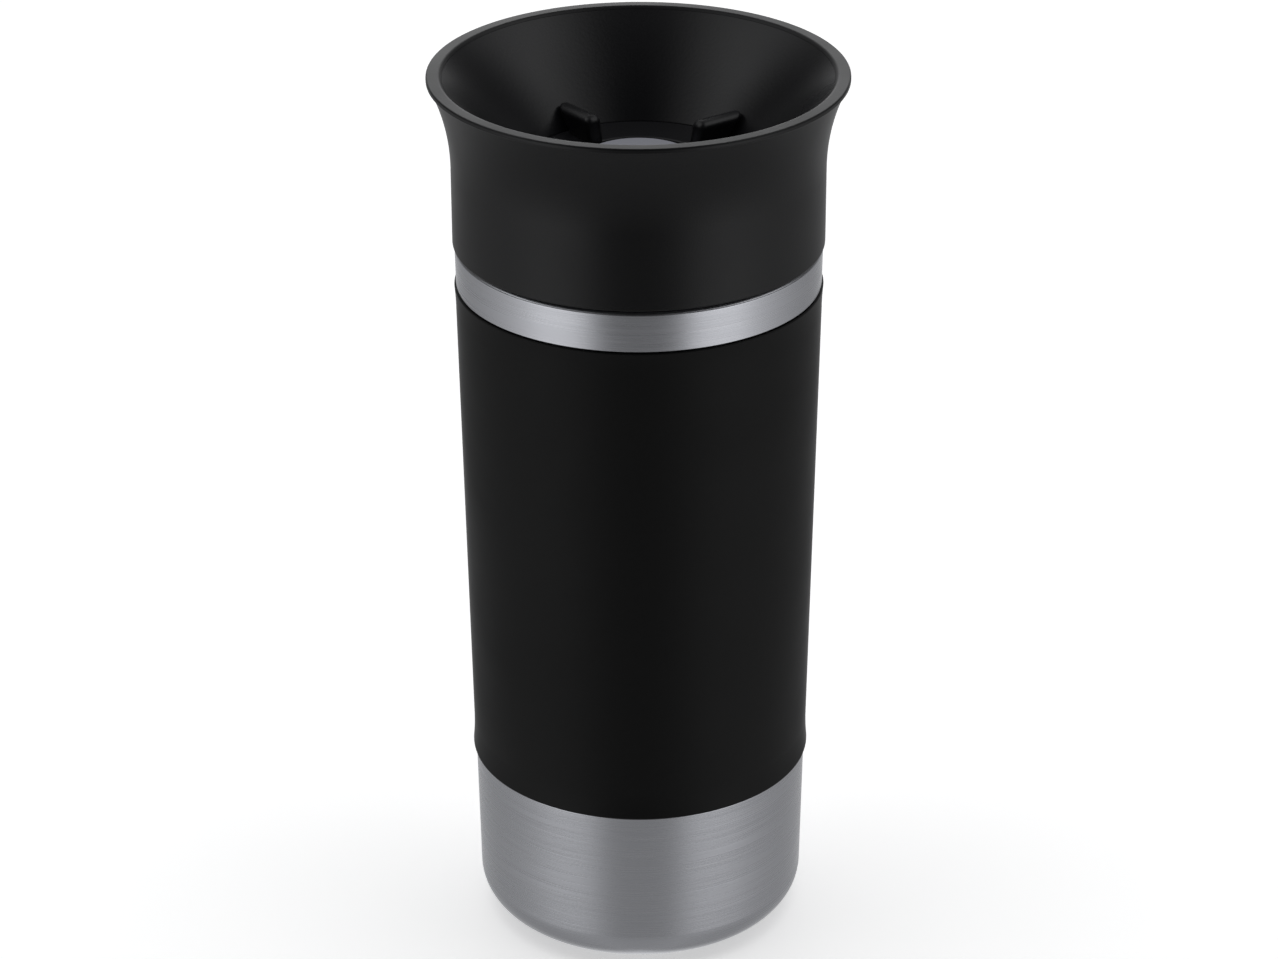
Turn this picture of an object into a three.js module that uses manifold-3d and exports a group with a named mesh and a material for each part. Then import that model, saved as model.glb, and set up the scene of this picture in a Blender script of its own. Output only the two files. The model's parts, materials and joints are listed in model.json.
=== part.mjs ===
// Insulated steel tumbler with a screw lid and a push-button closure.
// Millimetres, +Z up. The origin is the centre of the face that it stands on.
import * as THREE from 'three';
import { mergeVertices } from 'three/addons/utils/BufferGeometryUtils.js';
import Module from 'manifold-3d';

const wasm = await Module();
wasm.setup();

// ---- Driving dimensions ----

// Steel body: two tapered shells with a vacuum between them.
const BASE_RADIUS = 36.3;
const SHOULDER_RADIUS = 39.4;
const SHOULDER_HEIGHT = 161.3;
const CORNER_RADIUS = 8.4;
const STEEL_WALL = 0.6;
const VACUUM_GAP = 3;
const FLOOR_GAP = 7;
const NECK_STEP = 2.6;
const NECK_HEIGHT = 9.7;
const NECK_GAP = 0.8;
const RIM_FOLD = 0.8;
const SHOULDER_CHAMFER = 0.6;

// Base: a pan with an evacuation port, its solder bead, a getter and a soft foot.
const FOOT_STAND = 0.4;
const FOOT_THICKNESS = 1.4;
const PAN_RIM = 0.6;
const DIMPLE_RADIUS = 5;
const DIMPLE_DEPTH = 1.4;
const PORT_RADIUS = 1;
const BEAD_RADIUS = 3.4;
const GETTER_RADIUS = 4;
const GETTER_HEIGHT = 2.2;
const GETTER_OFFSET = 13;
const FOIL_THICKNESS = 0.25;

// Silicone sleeve, seated in a shallow groove in the outer shell.
const SLEEVE_BOTTOM = 39.8;
const SLEEVE_BELOW_SHOULDER = 9.2;
const SLEEVE_WALL = 1.2;
const SLEEVE_PROUD_TOP = 0.1;
const SLEEVE_PROUD_BOTTOM = 0.35;
const SLEEVE_LIP = 0.3;
const SLEEVE_LIP_HEIGHT = 2.4;

// Lid collar: a straight skirt that flares into the drinking lip.
const SKIRT_PROUD = 0.42;
const SKIRT_HEIGHT = 16.9;
const COLLAR_WALL = 1.8;
const FLARE_RADIUS = 47.1;
const FLARE_HEIGHT = 19.1;
const LIP_OVERHANG = 0.72;
const LIP_HEIGHT = 1.45;
const LIP_DEPTH = 2.2;
const LIP_WIDTH = 3.3;
const LIP_ROUND = 0.4;

// Funnel and threaded plug under it.
const FUNNEL_FLOOR = 17.3;
const FUNNEL_DROP = 0.9;
const FUNNEL_SEAT = 1.4;
const RIM_TAPER = 1;
const FUNNEL_WALL = 2;
const FUNNEL_BOW = 0.9;
const FUNNEL_STEPS = 4;
const PLUG_DEPTH = 11.7;
const PLUG_WALL = 2;
const PLUG_PLATE = 2;
const FLANGE_THICKNESS = 1.6;
const LID_SEAL_HEIGHT = 1.7;
const THREAD_LEAD = 14;
const THREAD_STARTS = 4;
const THREAD_WIDTH = 1.2;
const THREAD_DEPTH = 1.2;
const THREAD_ARC = 95;
const THREAD_BELOW_RIM = 3;
const THREAD_ROOM = 0.6;

// Closure: a cartridge that screws into the funnel's throat.
const THROAT_RADIUS = 20.6;
const CAP_FLANGE = 3.15;
const CAP_THICKNESS = 2.3;
const CAP_SEAL_HEIGHT = 1;
const CAP_LENGTH = 23;
const CAP_WALL = 1.8;
const CAP_LEAD = 36;
const CAP_LUG_DEPTH = 1.1;
const CAP_LUG_WIDTH = 2;
const CAP_LUG_ARC = 40;
const CAP_LUG_STARTS = 3;
const CAP_LUG_PHASE = 40;
const FIN_COUNT = 4;
const FIN_ANGLE = 37;
const FIN_THICKNESS = 3.6;
const FIN_INNER = 15.2;
const FIN_REACH = 2.7;
const FIN_HEIGHT = 6;
const FIN_FALL = 1;
const FIN_ROUND = 1.1;
const SEAT_THICKNESS = 2;
const GUIDE_RADIUS = 8.6;
const GUIDE_WALL = 1.6;
const GUIDE_TOP = 6;
const SPOKE_COUNT = 4;
const SPOKE_WIDTH = 1.6;
const SPOKE_TOP = 12.6;
const SPOKE_HEIGHT = 9;

// Button, push-push latch and valve.
const BUTTON_RADIUS = 12;
const BUTTON_PROUD = 1.2;
const BUTTON_CROWN = 0.25;
const BUTTON_WALL = 1.4;
const BUTTON_TOP = 2;
const BUTTON_SKIRT = 7.9;
const SLOT_WIDTH = 2.6;
const BOSS_RADIUS = 4.7;
const BOSS_BORE = 3.1;
const BOSS_DEPTH = 4.4;
const PLUNGER_RADIUS = 4.2;
const PLUNGER_LENGTH = 5.4;
const LUG_REACH = 1.2;
const LUG_WIDTH = 1.8;
const TOOTH_COUNT = 8;
const HALF_TEETH = TOOTH_COUNT / 2;
const TOOTH_HEIGHT = 0.8;
const ROTOR_HEIGHT = 3.2;
const STEM_RADIUS = 2.2;
const STEM_SOCKET = 4;
const STEM_COLLAR = 4.4;
const STEM_COLLAR_HEIGHT = 1.4;
const SLEEVE_THICKNESS = 1.1;
const RIB_DEPTH = 0.9;
const RIB_WIDTH = 2.2;
const RIB_LENGTH = 4.2;
const SPRING_WIRE = 0.6;
const SPRING_TURNS = 5;
const VALVE_INSET = 1;
const VALVE_THICKNESS = 1.5;
const VALVE_SEAL_HEIGHT = 1.25;
const VALVE_SEAL_WIDTH = 2.6;
const HUB_RADIUS = 4.6;
const HUB_HEIGHT = 2.2;
const CLIP_RADIUS = 3.8;
const CLIP_THICKNESS = 0.6;
const CLIP_OPENING = 2.4;
const STEM_NECK = 1.5;

// Clearances and facets.
const FIT = 0.25;
const SEAM = 0.4;
const LARGE_FACETS = 36;
const MEDIUM_FACETS = 24;
const SMALL_FACETS = 16;
const RAD = Math.PI / 180;

// ---- Heights and radii that follow from them ----

const steelSlope = (SHOULDER_RADIUS - BASE_RADIUS) / SHOULDER_HEIGHT;
const steelRadius = (height) => BASE_RADIUS + steelSlope * height;
const sleeveTop = SHOULDER_HEIGHT - SLEEVE_BELOW_SHOULDER;
const sleeveSlope = (SLEEVE_PROUD_TOP - SLEEVE_PROUD_BOTTOM) / (sleeveTop - SLEEVE_BOTTOM);
const sleeveRadius = (height) =>
  steelRadius(height) + SLEEVE_PROUD_BOTTOM + sleeveSlope * (height - SLEEVE_BOTTOM);
const grooveRadius = (height) => sleeveRadius(height) - SLEEVE_WALL - FIT;
const linerRadius = (height) => grooveRadius(height) - STEEL_WALL - VACUUM_GAP;

const neckRadius = SHOULDER_RADIUS - NECK_STEP;
const mouthOuter = neckRadius - STEEL_WALL - NECK_GAP;
const mouthInner = mouthOuter - STEEL_WALL;
const rimHeight = SHOULDER_HEIGHT + NECK_HEIGHT;
const linerFloor = FOOT_STAND + STEEL_WALL + FLOOR_GAP;
const mouthStart = SHOULDER_HEIGHT - SLEEVE_BELOW_SHOULDER + STEEL_WALL;

const lidEdge = SHOULDER_HEIGHT + SEAM;
const skirtRadius = SHOULDER_RADIUS + SKIRT_PROUD;
const flareStart = lidEdge + SKIRT_HEIGHT;
const lipBottom = flareStart + FLARE_HEIGHT;
const lipTop = lipBottom + LIP_HEIGHT;
const flareAngle = Math.asin(FLARE_HEIGHT / FLARE_RADIUS) / RAD;
const lipRadius = skirtRadius + FLARE_RADIUS * (1 - Math.cos(flareAngle * RAD)) + LIP_OVERHANG;
const lipInner = lipRadius - LIP_WIDTH;

const floorHeight = lidEdge + FUNNEL_FLOOR;
const funnelRim = lipTop - FUNNEL_DROP;
const capRadius = THROAT_RADIUS + CAP_FLANGE;
const funnelFoot = capRadius + FIT;
const ledgeHeight = floorHeight - CAP_THICKNESS - CAP_SEAL_HEIGHT - 2 * FIT;
const plugBottom = lidEdge - PLUG_DEPTH;
const plugRadius = mouthInner - THREAD_DEPTH - THREAD_ROOM;
const sealBottom = rimHeight + FIT;
const flangeBottom = sealBottom + LID_SEAL_HEIGHT + FIT;
const threadTop = rimHeight - THREAD_BELOW_RIM;

const capTube = THROAT_RADIUS - CAP_LUG_DEPTH - THREAD_ROOM;
const capBore = capTube - CAP_WALL;
const capBottom = floorHeight - CAP_LENGTH;
const seatBottom = capBottom - FIT - SEAT_THICKNESS;
const seatBore = capBore - 2 * FIT - CAP_WALL;
const guideTop = floorHeight - GUIDE_TOP;
const guideBore = GUIDE_RADIUS - GUIDE_WALL;
const guideFloor = seatBottom;
const springFoot = guideFloor + GUIDE_WALL;

const buttonTop = floorHeight + BUTTON_PROUD;
const buttonUnder = buttonTop - BUTTON_TOP;
const bossBottom = buttonUnder - BOSS_DEPTH;
const plungerBottom = bossBottom - FIT - PLUNGER_LENGTH;
const rotorTop = plungerBottom - FIT;
const rotorBottom = rotorTop - ROTOR_HEIGHT;
const collarTop = rotorBottom - FIT;
const collarBottom = collarTop - STEM_COLLAR_HEIGHT;
const camOuter = guideBore - FIT;
const camBore = camOuter - SLEEVE_THICKNESS;
const valveRadius = capTube - VALVE_INSET;
const valveTop = seatBottom - VALVE_SEAL_HEIGHT - 2 * FIT;
const valveBottom = valveTop - VALVE_THICKNESS;
const hubBottom = valveBottom - HUB_HEIGHT;
const clipTop = hubBottom - FIT;
const stemBottom = clipTop - CLIP_THICKNESS - 3 * FIT;

// ---- Materials ----

function finish(color, roughness, metalness = 0) {
  return new THREE.MeshStandardMaterial({ color, roughness, metalness });
}

const brushedSteel = finish(0xb9babd, 0.34, 1);
const plainSteel = finish(0xaeb0b3, 0.28, 1);
const blackPlastic = finish(0x1b1b1d, 0.45);
const greyPlastic = finish(0x6f7076, 0.5);
const whitePlastic = finish(0xd8d8d4, 0.5);
const blackSilicone = finish(0x161616, 0.75);
const clearSilicone = finish(0xc9cbc8, 0.6);
const copper = finish(0xb87450, 0.3, 1);
const solder = finish(0x8a8d90, 0.4, 1);

// ---- Geometry helpers ----

// Points of an arc in the radius-height plane; angles in degrees from the outward direction.
function arc(centreRadius, centreHeight, radius, from, to, steps) {
  return Array.from({ length: steps + 1 }, (_, index) => {
    const angle = (from + ((to - from) * index) / steps) * RAD;
    return [centreRadius + radius * Math.cos(angle), centreHeight + radius * Math.sin(angle)];
  });
}

function signedArea(outline) {
  return outline.reduce((sum, [radius, height], index) => {
    const [nextRadius, nextHeight] = outline[(index + 1) % outline.length];
    return sum + (radius * nextHeight - nextRadius * height) / 2;
  }, 0);
}

// Turns an outline of [radius, height] points into a solid of revolution about +Z.
function revolve(outline, facets = LARGE_FACETS) {
  const ordered = signedArea(outline) > 0 ? outline : [...outline].reverse();
  const onAxis = ordered.findIndex(([radius], index) => {
    const before = ordered[(index + ordered.length - 1) % ordered.length][0];
    return radius === 0 && before === 0;
  });
  const start = Math.max(onAxis, 0);
  const turned = [...ordered.slice(start), ...ordered.slice(0, start)];
  if (onAxis < 0) {
    turned.push(turned[0]);
  }
  const points = turned.map(([radius, height]) => new THREE.Vector2(radius, height));
  return new THREE.LatheGeometry(points, facets).rotateX(Math.PI / 2);
}

// A flat-sided ring: the plainest outline, used for washers, tubes and seals.
function ring(inner, outer, bottom, top, facets, edge = 0) {
  return revolve(
    [
      [outer - edge, bottom],
      [outer, bottom + edge],
      [outer, top - edge],
      [outer - edge, top],
      [inner + edge, top],
      [inner, top - edge],
      [inner, bottom + edge],
      [inner + edge, bottom],
    ].filter((_, index) => edge > 0 || index % 2 === 0),
    facets,
  );
}

function toSolid(geometry) {
  const bare = geometry.clone();
  bare.deleteAttribute('normal');
  bare.deleteAttribute('uv');
  const merged = mergeVertices(bare);
  const corners = merged.index.array;
  const kept = [];
  for (let index = 0; index < corners.length; index += 3) {
    const [a, b, c] = corners.slice(index, index + 3);
    if (a !== b && b !== c && a !== c) {
      kept.push(a, b, c);
    }
  }
  return new wasm.Manifold(
    new wasm.Mesh({
      numProp: 3,
      vertProperties: new Float32Array(merged.attributes.position.array),
      triVerts: new Uint32Array(kept),
    }),
  );
}

function toGeometry(solid) {
  const mesh = solid.getMesh();
  const geometry = new THREE.BufferGeometry();
  geometry.setAttribute('position', new THREE.BufferAttribute(new Float32Array(mesh.vertProperties), 3));
  geometry.setIndex(new THREE.BufferAttribute(new Uint32Array(mesh.triVerts), 1));
  geometry.computeVertexNormals();
  return geometry;
}

function join(...geometries) {
  return toGeometry(geometries.map(toSolid).reduce((whole, next) => whole.add(next)));
}

function cut(geometry, ...tools) {
  return toGeometry(tools.map(toSolid).reduce((whole, tool) => whole.subtract(tool), toSolid(geometry)));
}

// A bar laid along a helix about +Z, from tip to root; its tip side is narrower than its root.
function helicalBar({ tip, root, width, lead, start, sweep, height }) {
  const inner = Math.min(tip, root);
  const depth = Math.abs(root - tip);
  const steps = Math.max(2, Math.round(sweep / 12));
  const bar = new THREE.BoxGeometry(depth, sweep, width, 1, steps, 1);
  const places = bar.attributes.position;
  for (let index = 0; index < places.count; index += 1) {
    const radius = inner + depth / 2 + places.getX(index);
    const turned = places.getY(index) + sweep / 2;
    const angle = (start + turned) * RAD;
    const narrowing = Math.abs(radius - tip) < depth / 2 ? 0.6 : 1;
    const rise = height + (lead * turned) / 360 + places.getZ(index) * narrowing;
    places.setXYZ(index, radius * Math.cos(angle), radius * Math.sin(angle), rise);
  }
  return bar;
}

function aroundAxis(count, firstAngle, make) {
  return Array.from({ length: count }, (_, index) => make(firstAngle + (360 / count) * index));
}

// A radial block from one radius to another, turned to an angle about +Z.
function radialBlock(inner, outer, width, bottom, top, angle) {
  return new THREE.BoxGeometry(outer - inner, width, top - bottom)
    .translate((inner + outer) / 2, 0, (bottom + top) / 2)
    .rotateZ(angle * RAD);
}

// Raises the vertices on one face of a ring into even teeth.
function crownTeeth(geometry, faceHeight, toothHeight) {
  const places = geometry.attributes.position;
  for (let index = 0; index < places.count; index += 1) {
    const onFace = Math.abs(places.getZ(index) - faceHeight) < 0.01;
    const turn = (Math.atan2(places.getY(index), places.getX(index)) / (2 * Math.PI)) * TOOTH_COUNT;
    const share = Math.abs(turn - Math.round(turn)) * 2;
    places.setZ(index, places.getZ(index) + (onFace ? toothHeight * share : 0));
  }
  return geometry;
}

const object = new THREE.Group();

function addPiece(name, geometry, material) {
  const piece = new THREE.Mesh(geometry, material);
  piece.name = name;
  object.add(piece);
}

// ---- Mug ----

function outerShell() {
  const low = SLEEVE_BOTTOM - FIT;
  const high = sleeveTop + FIT;
  const cornerHeight = FOOT_STAND + CORNER_RADIUS;
  const cornerCentre = steelRadius(cornerHeight) - CORNER_RADIUS;
  const shellTop = rimHeight - RIM_FOLD - FIT;
  const shoulderInner = SHOULDER_RADIUS - STEEL_WALL;
  return revolve([
    ...arc(cornerCentre, cornerHeight, CORNER_RADIUS, -90, 0, 5),
    [steelRadius(low), low],
    [grooveRadius(low), low],
    [grooveRadius(high), high],
    [steelRadius(high), high],
    [SHOULDER_RADIUS, SHOULDER_HEIGHT - SHOULDER_CHAMFER],
    [SHOULDER_RADIUS - SHOULDER_CHAMFER, SHOULDER_HEIGHT],
    [neckRadius, SHOULDER_HEIGHT],
    [neckRadius, shellTop],
    [neckRadius - STEEL_WALL, shellTop],
    [neckRadius - STEEL_WALL, SHOULDER_HEIGHT - STEEL_WALL],
    [shoulderInner, SHOULDER_HEIGHT - STEEL_WALL - SHOULDER_CHAMFER],
    [steelRadius(high) - STEEL_WALL, high + STEEL_WALL],
    [grooveRadius(high) - STEEL_WALL, high + STEEL_WALL],
    [grooveRadius(low) - STEEL_WALL, low - STEEL_WALL],
    [steelRadius(low) - STEEL_WALL, low - STEEL_WALL],
    ...arc(cornerCentre, cornerHeight, CORNER_RADIUS - STEEL_WALL, 0, -90, 5),
  ]);
}

const basePanRadius = steelRadius(FOOT_STAND + CORNER_RADIUS) - CORNER_RADIUS - FIT;
const panUnder = FOOT_THICKNESS + FIT;

function basePlate() {
  const panTop = panUnder + STEEL_WALL;
  return revolve(
    [
      [basePanRadius, FOOT_STAND],
      [basePanRadius, panTop],
      [DIMPLE_RADIUS + STEEL_WALL, panTop],
      [DIMPLE_RADIUS, panTop + DIMPLE_DEPTH],
      [PORT_RADIUS, panTop + DIMPLE_DEPTH],
      [PORT_RADIUS, panUnder + DIMPLE_DEPTH],
      [DIMPLE_RADIUS - STEEL_WALL, panUnder + DIMPLE_DEPTH],
      [DIMPLE_RADIUS, panUnder],
      [basePanRadius - PAN_RIM, panUnder],
      [basePanRadius - PAN_RIM, FOOT_STAND],
    ],
    MEDIUM_FACETS,
  );
}

function vacuumSealBead() {
  const headTop = panUnder + DIMPLE_DEPTH - FIT;
  const stemTop = headTop + 2 * FIT + STEEL_WALL;
  return revolve(
    [
      [0, panUnder + FIT],
      [BEAD_RADIUS - FIT, panUnder + FIT],
      [BEAD_RADIUS, headTop],
      [PORT_RADIUS - FIT, headTop],
      [PORT_RADIUS - FIT, stemTop],
      [0, stemTop],
    ],
    SMALL_FACETS,
  );
}

function footPad() {
  const radius = basePanRadius - PAN_RIM - FIT;
  return revolve(
    [
      [0, 0],
      [radius - FOOT_STAND, 0],
      [radius, FOOT_STAND],
      [radius, FOOT_THICKNESS],
      [0, FOOT_THICKNESS],
    ],
    MEDIUM_FACETS,
  );
}

function getterPuck() {
  const top = linerFloor - FIT;
  const puck = new THREE.CylinderGeometry(GETTER_RADIUS, GETTER_RADIUS - FIT, GETTER_HEIGHT, SMALL_FACETS);
  return puck.rotateX(Math.PI / 2).translate(GETTER_OFFSET, 0, top - GETTER_HEIGHT / 2);
}

function copperFoil() {
  const bottom = linerFloor + CORNER_RADIUS;
  const top = sleeveTop - SLEEVE_BELOW_SHOULDER;
  const stand = VACUUM_GAP / 3;
  return revolve([
    [linerRadius(bottom) + stand + FOIL_THICKNESS, bottom],
    [linerRadius(top) + stand + FOIL_THICKNESS, top],
    [linerRadius(top) + stand, top],
    [linerRadius(bottom) + stand, bottom],
  ]);
}

// Thread ridges share one helix family; the lid's run half a pitch from the mug's.
function threadRidges(tip, root, firstHeight, phase) {
  return aroundAxis(THREAD_STARTS, phase, (start) =>
    helicalBar({
      tip,
      root,
      width: THREAD_WIDTH,
      lead: THREAD_LEAD,
      start,
      sweep: THREAD_ARC,
      height: firstHeight,
    }),
  );
}

const threadRise = (THREAD_LEAD * THREAD_ARC) / 360;
const halfPitchTurn = 180 / THREAD_STARTS;

function innerShell() {
  const cornerHeight = linerFloor + CORNER_RADIUS;
  const cornerCentre = linerRadius(cornerHeight) - CORNER_RADIUS;
  const body = revolve([
    [0, linerFloor],
    ...arc(cornerCentre, cornerHeight, CORNER_RADIUS, -90, 0, 4),
    [linerRadius(sleeveTop), sleeveTop],
    [mouthOuter, mouthStart + STEEL_WALL],
    [mouthOuter, rimHeight - RIM_FOLD],
    [neckRadius, rimHeight - RIM_FOLD],
    [neckRadius, rimHeight],
    [mouthInner, rimHeight],
    [mouthInner, mouthStart + STEEL_WALL],
    [linerRadius(sleeveTop) - STEEL_WALL, sleeveTop],
    ...arc(cornerCentre, cornerHeight, CORNER_RADIUS - STEEL_WALL, 0, -90, 4),
    [0, linerFloor + STEEL_WALL],
  ]);
  const tip = mouthInner - THREAD_DEPTH;
  const root = mouthInner + STEEL_WALL / 2;
  return join(body, ...threadRidges(tip, root, threadTop - threadRise, 0));
}

function gripSleeve() {
  const lipFoot = sleeveTop - SLEEVE_LIP_HEIGHT;
  const beadTop = SLEEVE_BOTTOM + SLEEVE_LIP_HEIGHT;
  const lip = (height) => sleeveRadius(height) + SLEEVE_LIP;
  const inside = (height) => sleeveRadius(height) - SLEEVE_WALL;
  return revolve([
    [inside(SLEEVE_BOTTOM), SLEEVE_BOTTOM],
    [lip(SLEEVE_BOTTOM) - SLEEVE_LIP, SLEEVE_BOTTOM],
    [lip(SLEEVE_BOTTOM), SLEEVE_BOTTOM + SLEEVE_LIP],
    [lip(beadTop), beadTop - SLEEVE_LIP],
    [sleeveRadius(beadTop), beadTop],
    [sleeveRadius(lipFoot), lipFoot],
    [lip(lipFoot), lipFoot + SLEEVE_LIP],
    [lip(sleeveTop), sleeveTop - SLEEVE_LIP],
    [lip(sleeveTop) - SLEEVE_LIP, sleeveTop],
    [inside(sleeveTop), sleeveTop],
  ]);
}

addPiece('outer_shell', outerShell(), brushedSteel);
addPiece('inner_shell', innerShell(), plainSteel);
addPiece('base_plate', basePlate(), plainSteel);
addPiece('vacuum_seal_bead', vacuumSealBead(), solder);
addPiece('getter', getterPuck(), plainSteel);
addPiece('copper_foil', copperFoil(), copper);
addPiece('foot_pad', footPad(), blackSilicone);
addPiece('grip_sleeve', gripSleeve(), blackSilicone);

// ---- Lid ----

function lidCollar() {
  const flareCentre = skirtRadius + FLARE_RADIUS;
  const chamfer = LIP_OVERHANG / 2;
  const faceBottom = lipBottom + LIP_ROUND + chamfer;
  const outerCentre = lipRadius - LIP_ROUND;
  const innerCentre = lipInner + LIP_ROUND;
  const innerFlare = FLARE_RADIUS + COLLAR_WALL;
  const lipUnder = lipTop - LIP_DEPTH;
  const innerAngle = Math.asin((lipUnder - flareStart) / innerFlare) / RAD;
  return revolve([
    [skirtRadius - chamfer, lidEdge],
    [skirtRadius, lidEdge + chamfer],
    ...arc(flareCentre, flareStart, FLARE_RADIUS, 180, 180 - flareAngle, 5),
    [lipRadius - LIP_OVERHANG - chamfer, lipBottom + chamfer],
    [lipRadius, faceBottom],
    ...arc(outerCentre, lipTop - LIP_ROUND, LIP_ROUND, 0, 90, 3),
    ...arc(innerCentre, lipTop - LIP_ROUND, LIP_ROUND, 90, 180, 3),
    [lipInner, lipUnder],
    ...arc(flareCentre, flareStart, innerFlare, 180 - innerAngle, 180, 4),
    [skirtRadius - COLLAR_WALL, lidEdge],
  ]);
}

// The throat's lugs and the cap's lugs share one steep helix family.
function capLugs(tip, root, firstHeight, phase) {
  return aroundAxis(CAP_LUG_STARTS, phase, (start) =>
    helicalBar({
      tip,
      root,
      width: CAP_LUG_WIDTH,
      lead: CAP_LEAD,
      start,
      sweep: CAP_LUG_ARC,
      height: firstHeight,
    }),
  );
}

const funnelRimRadius = lipInner - FIT;
const funnelSlope = (funnelRim - floorHeight) / (funnelRimRadius - funnelFoot);
const funnelSpan = funnelRimRadius - funnelFoot;
const wallShift = FUNNEL_WALL * Math.hypot(1, funnelSlope);

// Height of the funnel's wall, bowed a little so that it is steepest at its foot.
function wallHeight(radius) {
  const share = (radius - funnelFoot) / funnelSpan;
  return floorHeight + funnelSlope * (radius - funnelFoot) + 4 * FUNNEL_BOW * share * (1 - share);
}

function wallPoints(from, to, shift) {
  return Array.from({ length: FUNNEL_STEPS + 1 }, (_, step) => {
    const radius = from + ((to - from) * step) / FUNNEL_STEPS;
    return [radius, wallHeight(radius) - shift];
  });
}

const lugHeight = ledgeHeight - CAP_LUG_WIDTH - (CAP_LEAD * CAP_LUG_ARC) / 360;

function lidFunnel() {
  const throatOuter = THROAT_RADIUS + FUNNEL_WALL;
  const throatBottom = plugBottom + PLUG_PLATE + FIT;
  const seatOuter = funnelFoot + FUNNEL_SEAT;
  const body = revolve([
    [THROAT_RADIUS, throatBottom],
    [throatOuter, throatBottom],
    [throatOuter, ledgeHeight - FUNNEL_WALL],
    [seatOuter, ledgeHeight - FUNNEL_WALL],
    ...wallPoints(seatOuter, funnelRimRadius - RIM_TAPER, wallShift),
    [funnelRimRadius, funnelRim - RIM_TAPER],
    ...wallPoints(funnelRimRadius, funnelFoot, 0),
    [funnelFoot, ledgeHeight],
    [THROAT_RADIUS, ledgeHeight],
  ]);
  const tip = THROAT_RADIUS - CAP_LUG_DEPTH;
  const root = THROAT_RADIUS + FUNNEL_WALL / 2;
  return join(body, ...capLugs(tip, root, lugHeight, 0));
}

function lidPlug() {
  const flangeRadius = skirtRadius - COLLAR_WALL - FIT;
  const bore = plugRadius - PLUG_WALL;
  const plateHole = THROAT_RADIUS + FIT;
  const chamfer = PLUG_WALL / 2;
  const body = revolve([
    [plateHole, plugBottom],
    [plugRadius - chamfer, plugBottom],
    [plugRadius, plugBottom + chamfer],
    [plugRadius, flangeBottom],
    [flangeRadius, flangeBottom],
    [flangeRadius, flangeBottom + FLANGE_THICKNESS],
    [bore, flangeBottom + FLANGE_THICKNESS],
    [bore, plugBottom + PLUG_PLATE],
    [plateHole, plugBottom + PLUG_PLATE],
  ]);
  const tip = plugRadius + THREAD_DEPTH;
  const root = plugRadius - PLUG_WALL / 2;
  const ridgeHeight = threadTop - threadRise - THREAD_WIDTH;
  const ridgeTurn = halfPitchTurn - (THREAD_WIDTH / THREAD_LEAD) * 360;
  return join(body, ...threadRidges(tip, root, ridgeHeight, ridgeTurn));
}

addPiece('lid_collar', lidCollar(), blackPlastic);
addPiece('lid_funnel', lidFunnel(), blackPlastic);
addPiece('lid_plug', lidPlug(), blackPlastic);
addPiece(
  'lid_seal_ring',
  ring(plugRadius + FIT, neckRadius, sealBottom, sealBottom + LID_SEAL_HEIGHT, LARGE_FACETS, FIT),
  clearSilicone,
);

// ---- Closure ----

// One grip fin: its outer end overhangs the funnel wall and keeps a gap to it.
function gripFin(angle) {
  const edge = FIN_ROUND / 2;
  const top = FIN_HEIGHT - FIN_ROUND;
  const inner = FIN_INNER + edge;
  const outer = capRadius + FIN_REACH - edge;
  const lift = (FIT + edge) * Math.hypot(1, funnelSlope) + edge / 2;
  const under = (radius) => wallHeight(radius) - floorHeight + lift;
  const outline = new THREE.Shape();
  outline.moveTo(inner, -CAP_THICKNESS / 2);
  outline.lineTo(inner + edge, top - 1.5 * FIN_ROUND);
  outline.lineTo(inner + FIN_ROUND, top - edge);
  outline.lineTo(inner + 2 * FIN_ROUND, top);
  outline.lineTo(outer - FIN_ROUND, top - FIN_FALL);
  outline.lineTo(outer, Math.max(under(outer), top - FIN_FALL - edge));
  outline.lineTo(capRadius - FIT, under(capRadius - FIT));
  outline.lineTo(capRadius - FIN_ROUND, edge / 2);
  outline.lineTo(capRadius - FIN_ROUND, -CAP_THICKNESS / 2);
  const fin = new THREE.ExtrudeGeometry(outline, {
    depth: FIN_THICKNESS - 2 * FIN_ROUND,
    bevelThickness: FIN_ROUND,
    bevelSize: FIN_ROUND / 2,
    bevelSegments: 2,
    steps: 1,
  });
  return fin
    .translate(0, 0, -(FIN_THICKNESS - 2 * FIN_ROUND) / 2)
    .rotateX(Math.PI / 2)
    .rotateZ(angle * RAD)
    .translate(0, 0, floorHeight);
}

function closureCap() {
  const hole = BUTTON_RADIUS + SLOT_WIDTH;
  const flangeUnder = floorHeight - CAP_THICKNESS;
  const body = revolve(
    [
      [hole, floorHeight],
      [capRadius - FIT, floorHeight],
      [capRadius, floorHeight - FIT],
      [capRadius, flangeUnder],
      [capTube, flangeUnder],
      [capTube, capBottom],
      [capBore, capBottom],
      [capBore, flangeUnder - CAP_WALL],
      [hole, flangeUnder],
    ],
    LARGE_FACETS,
  );
  const lugRise = (CAP_LEAD * CAP_LUG_ARC) / 360;
  const tip = capTube + CAP_LUG_DEPTH;
  const root = capTube - CAP_WALL / 2;
  const lugs = capLugs(tip, root, lugHeight - lugRise / 2, CAP_LUG_PHASE);
  return join(body, ...lugs, ...aroundAxis(FIN_COUNT, FIN_ANGLE, gripFin));
}

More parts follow.
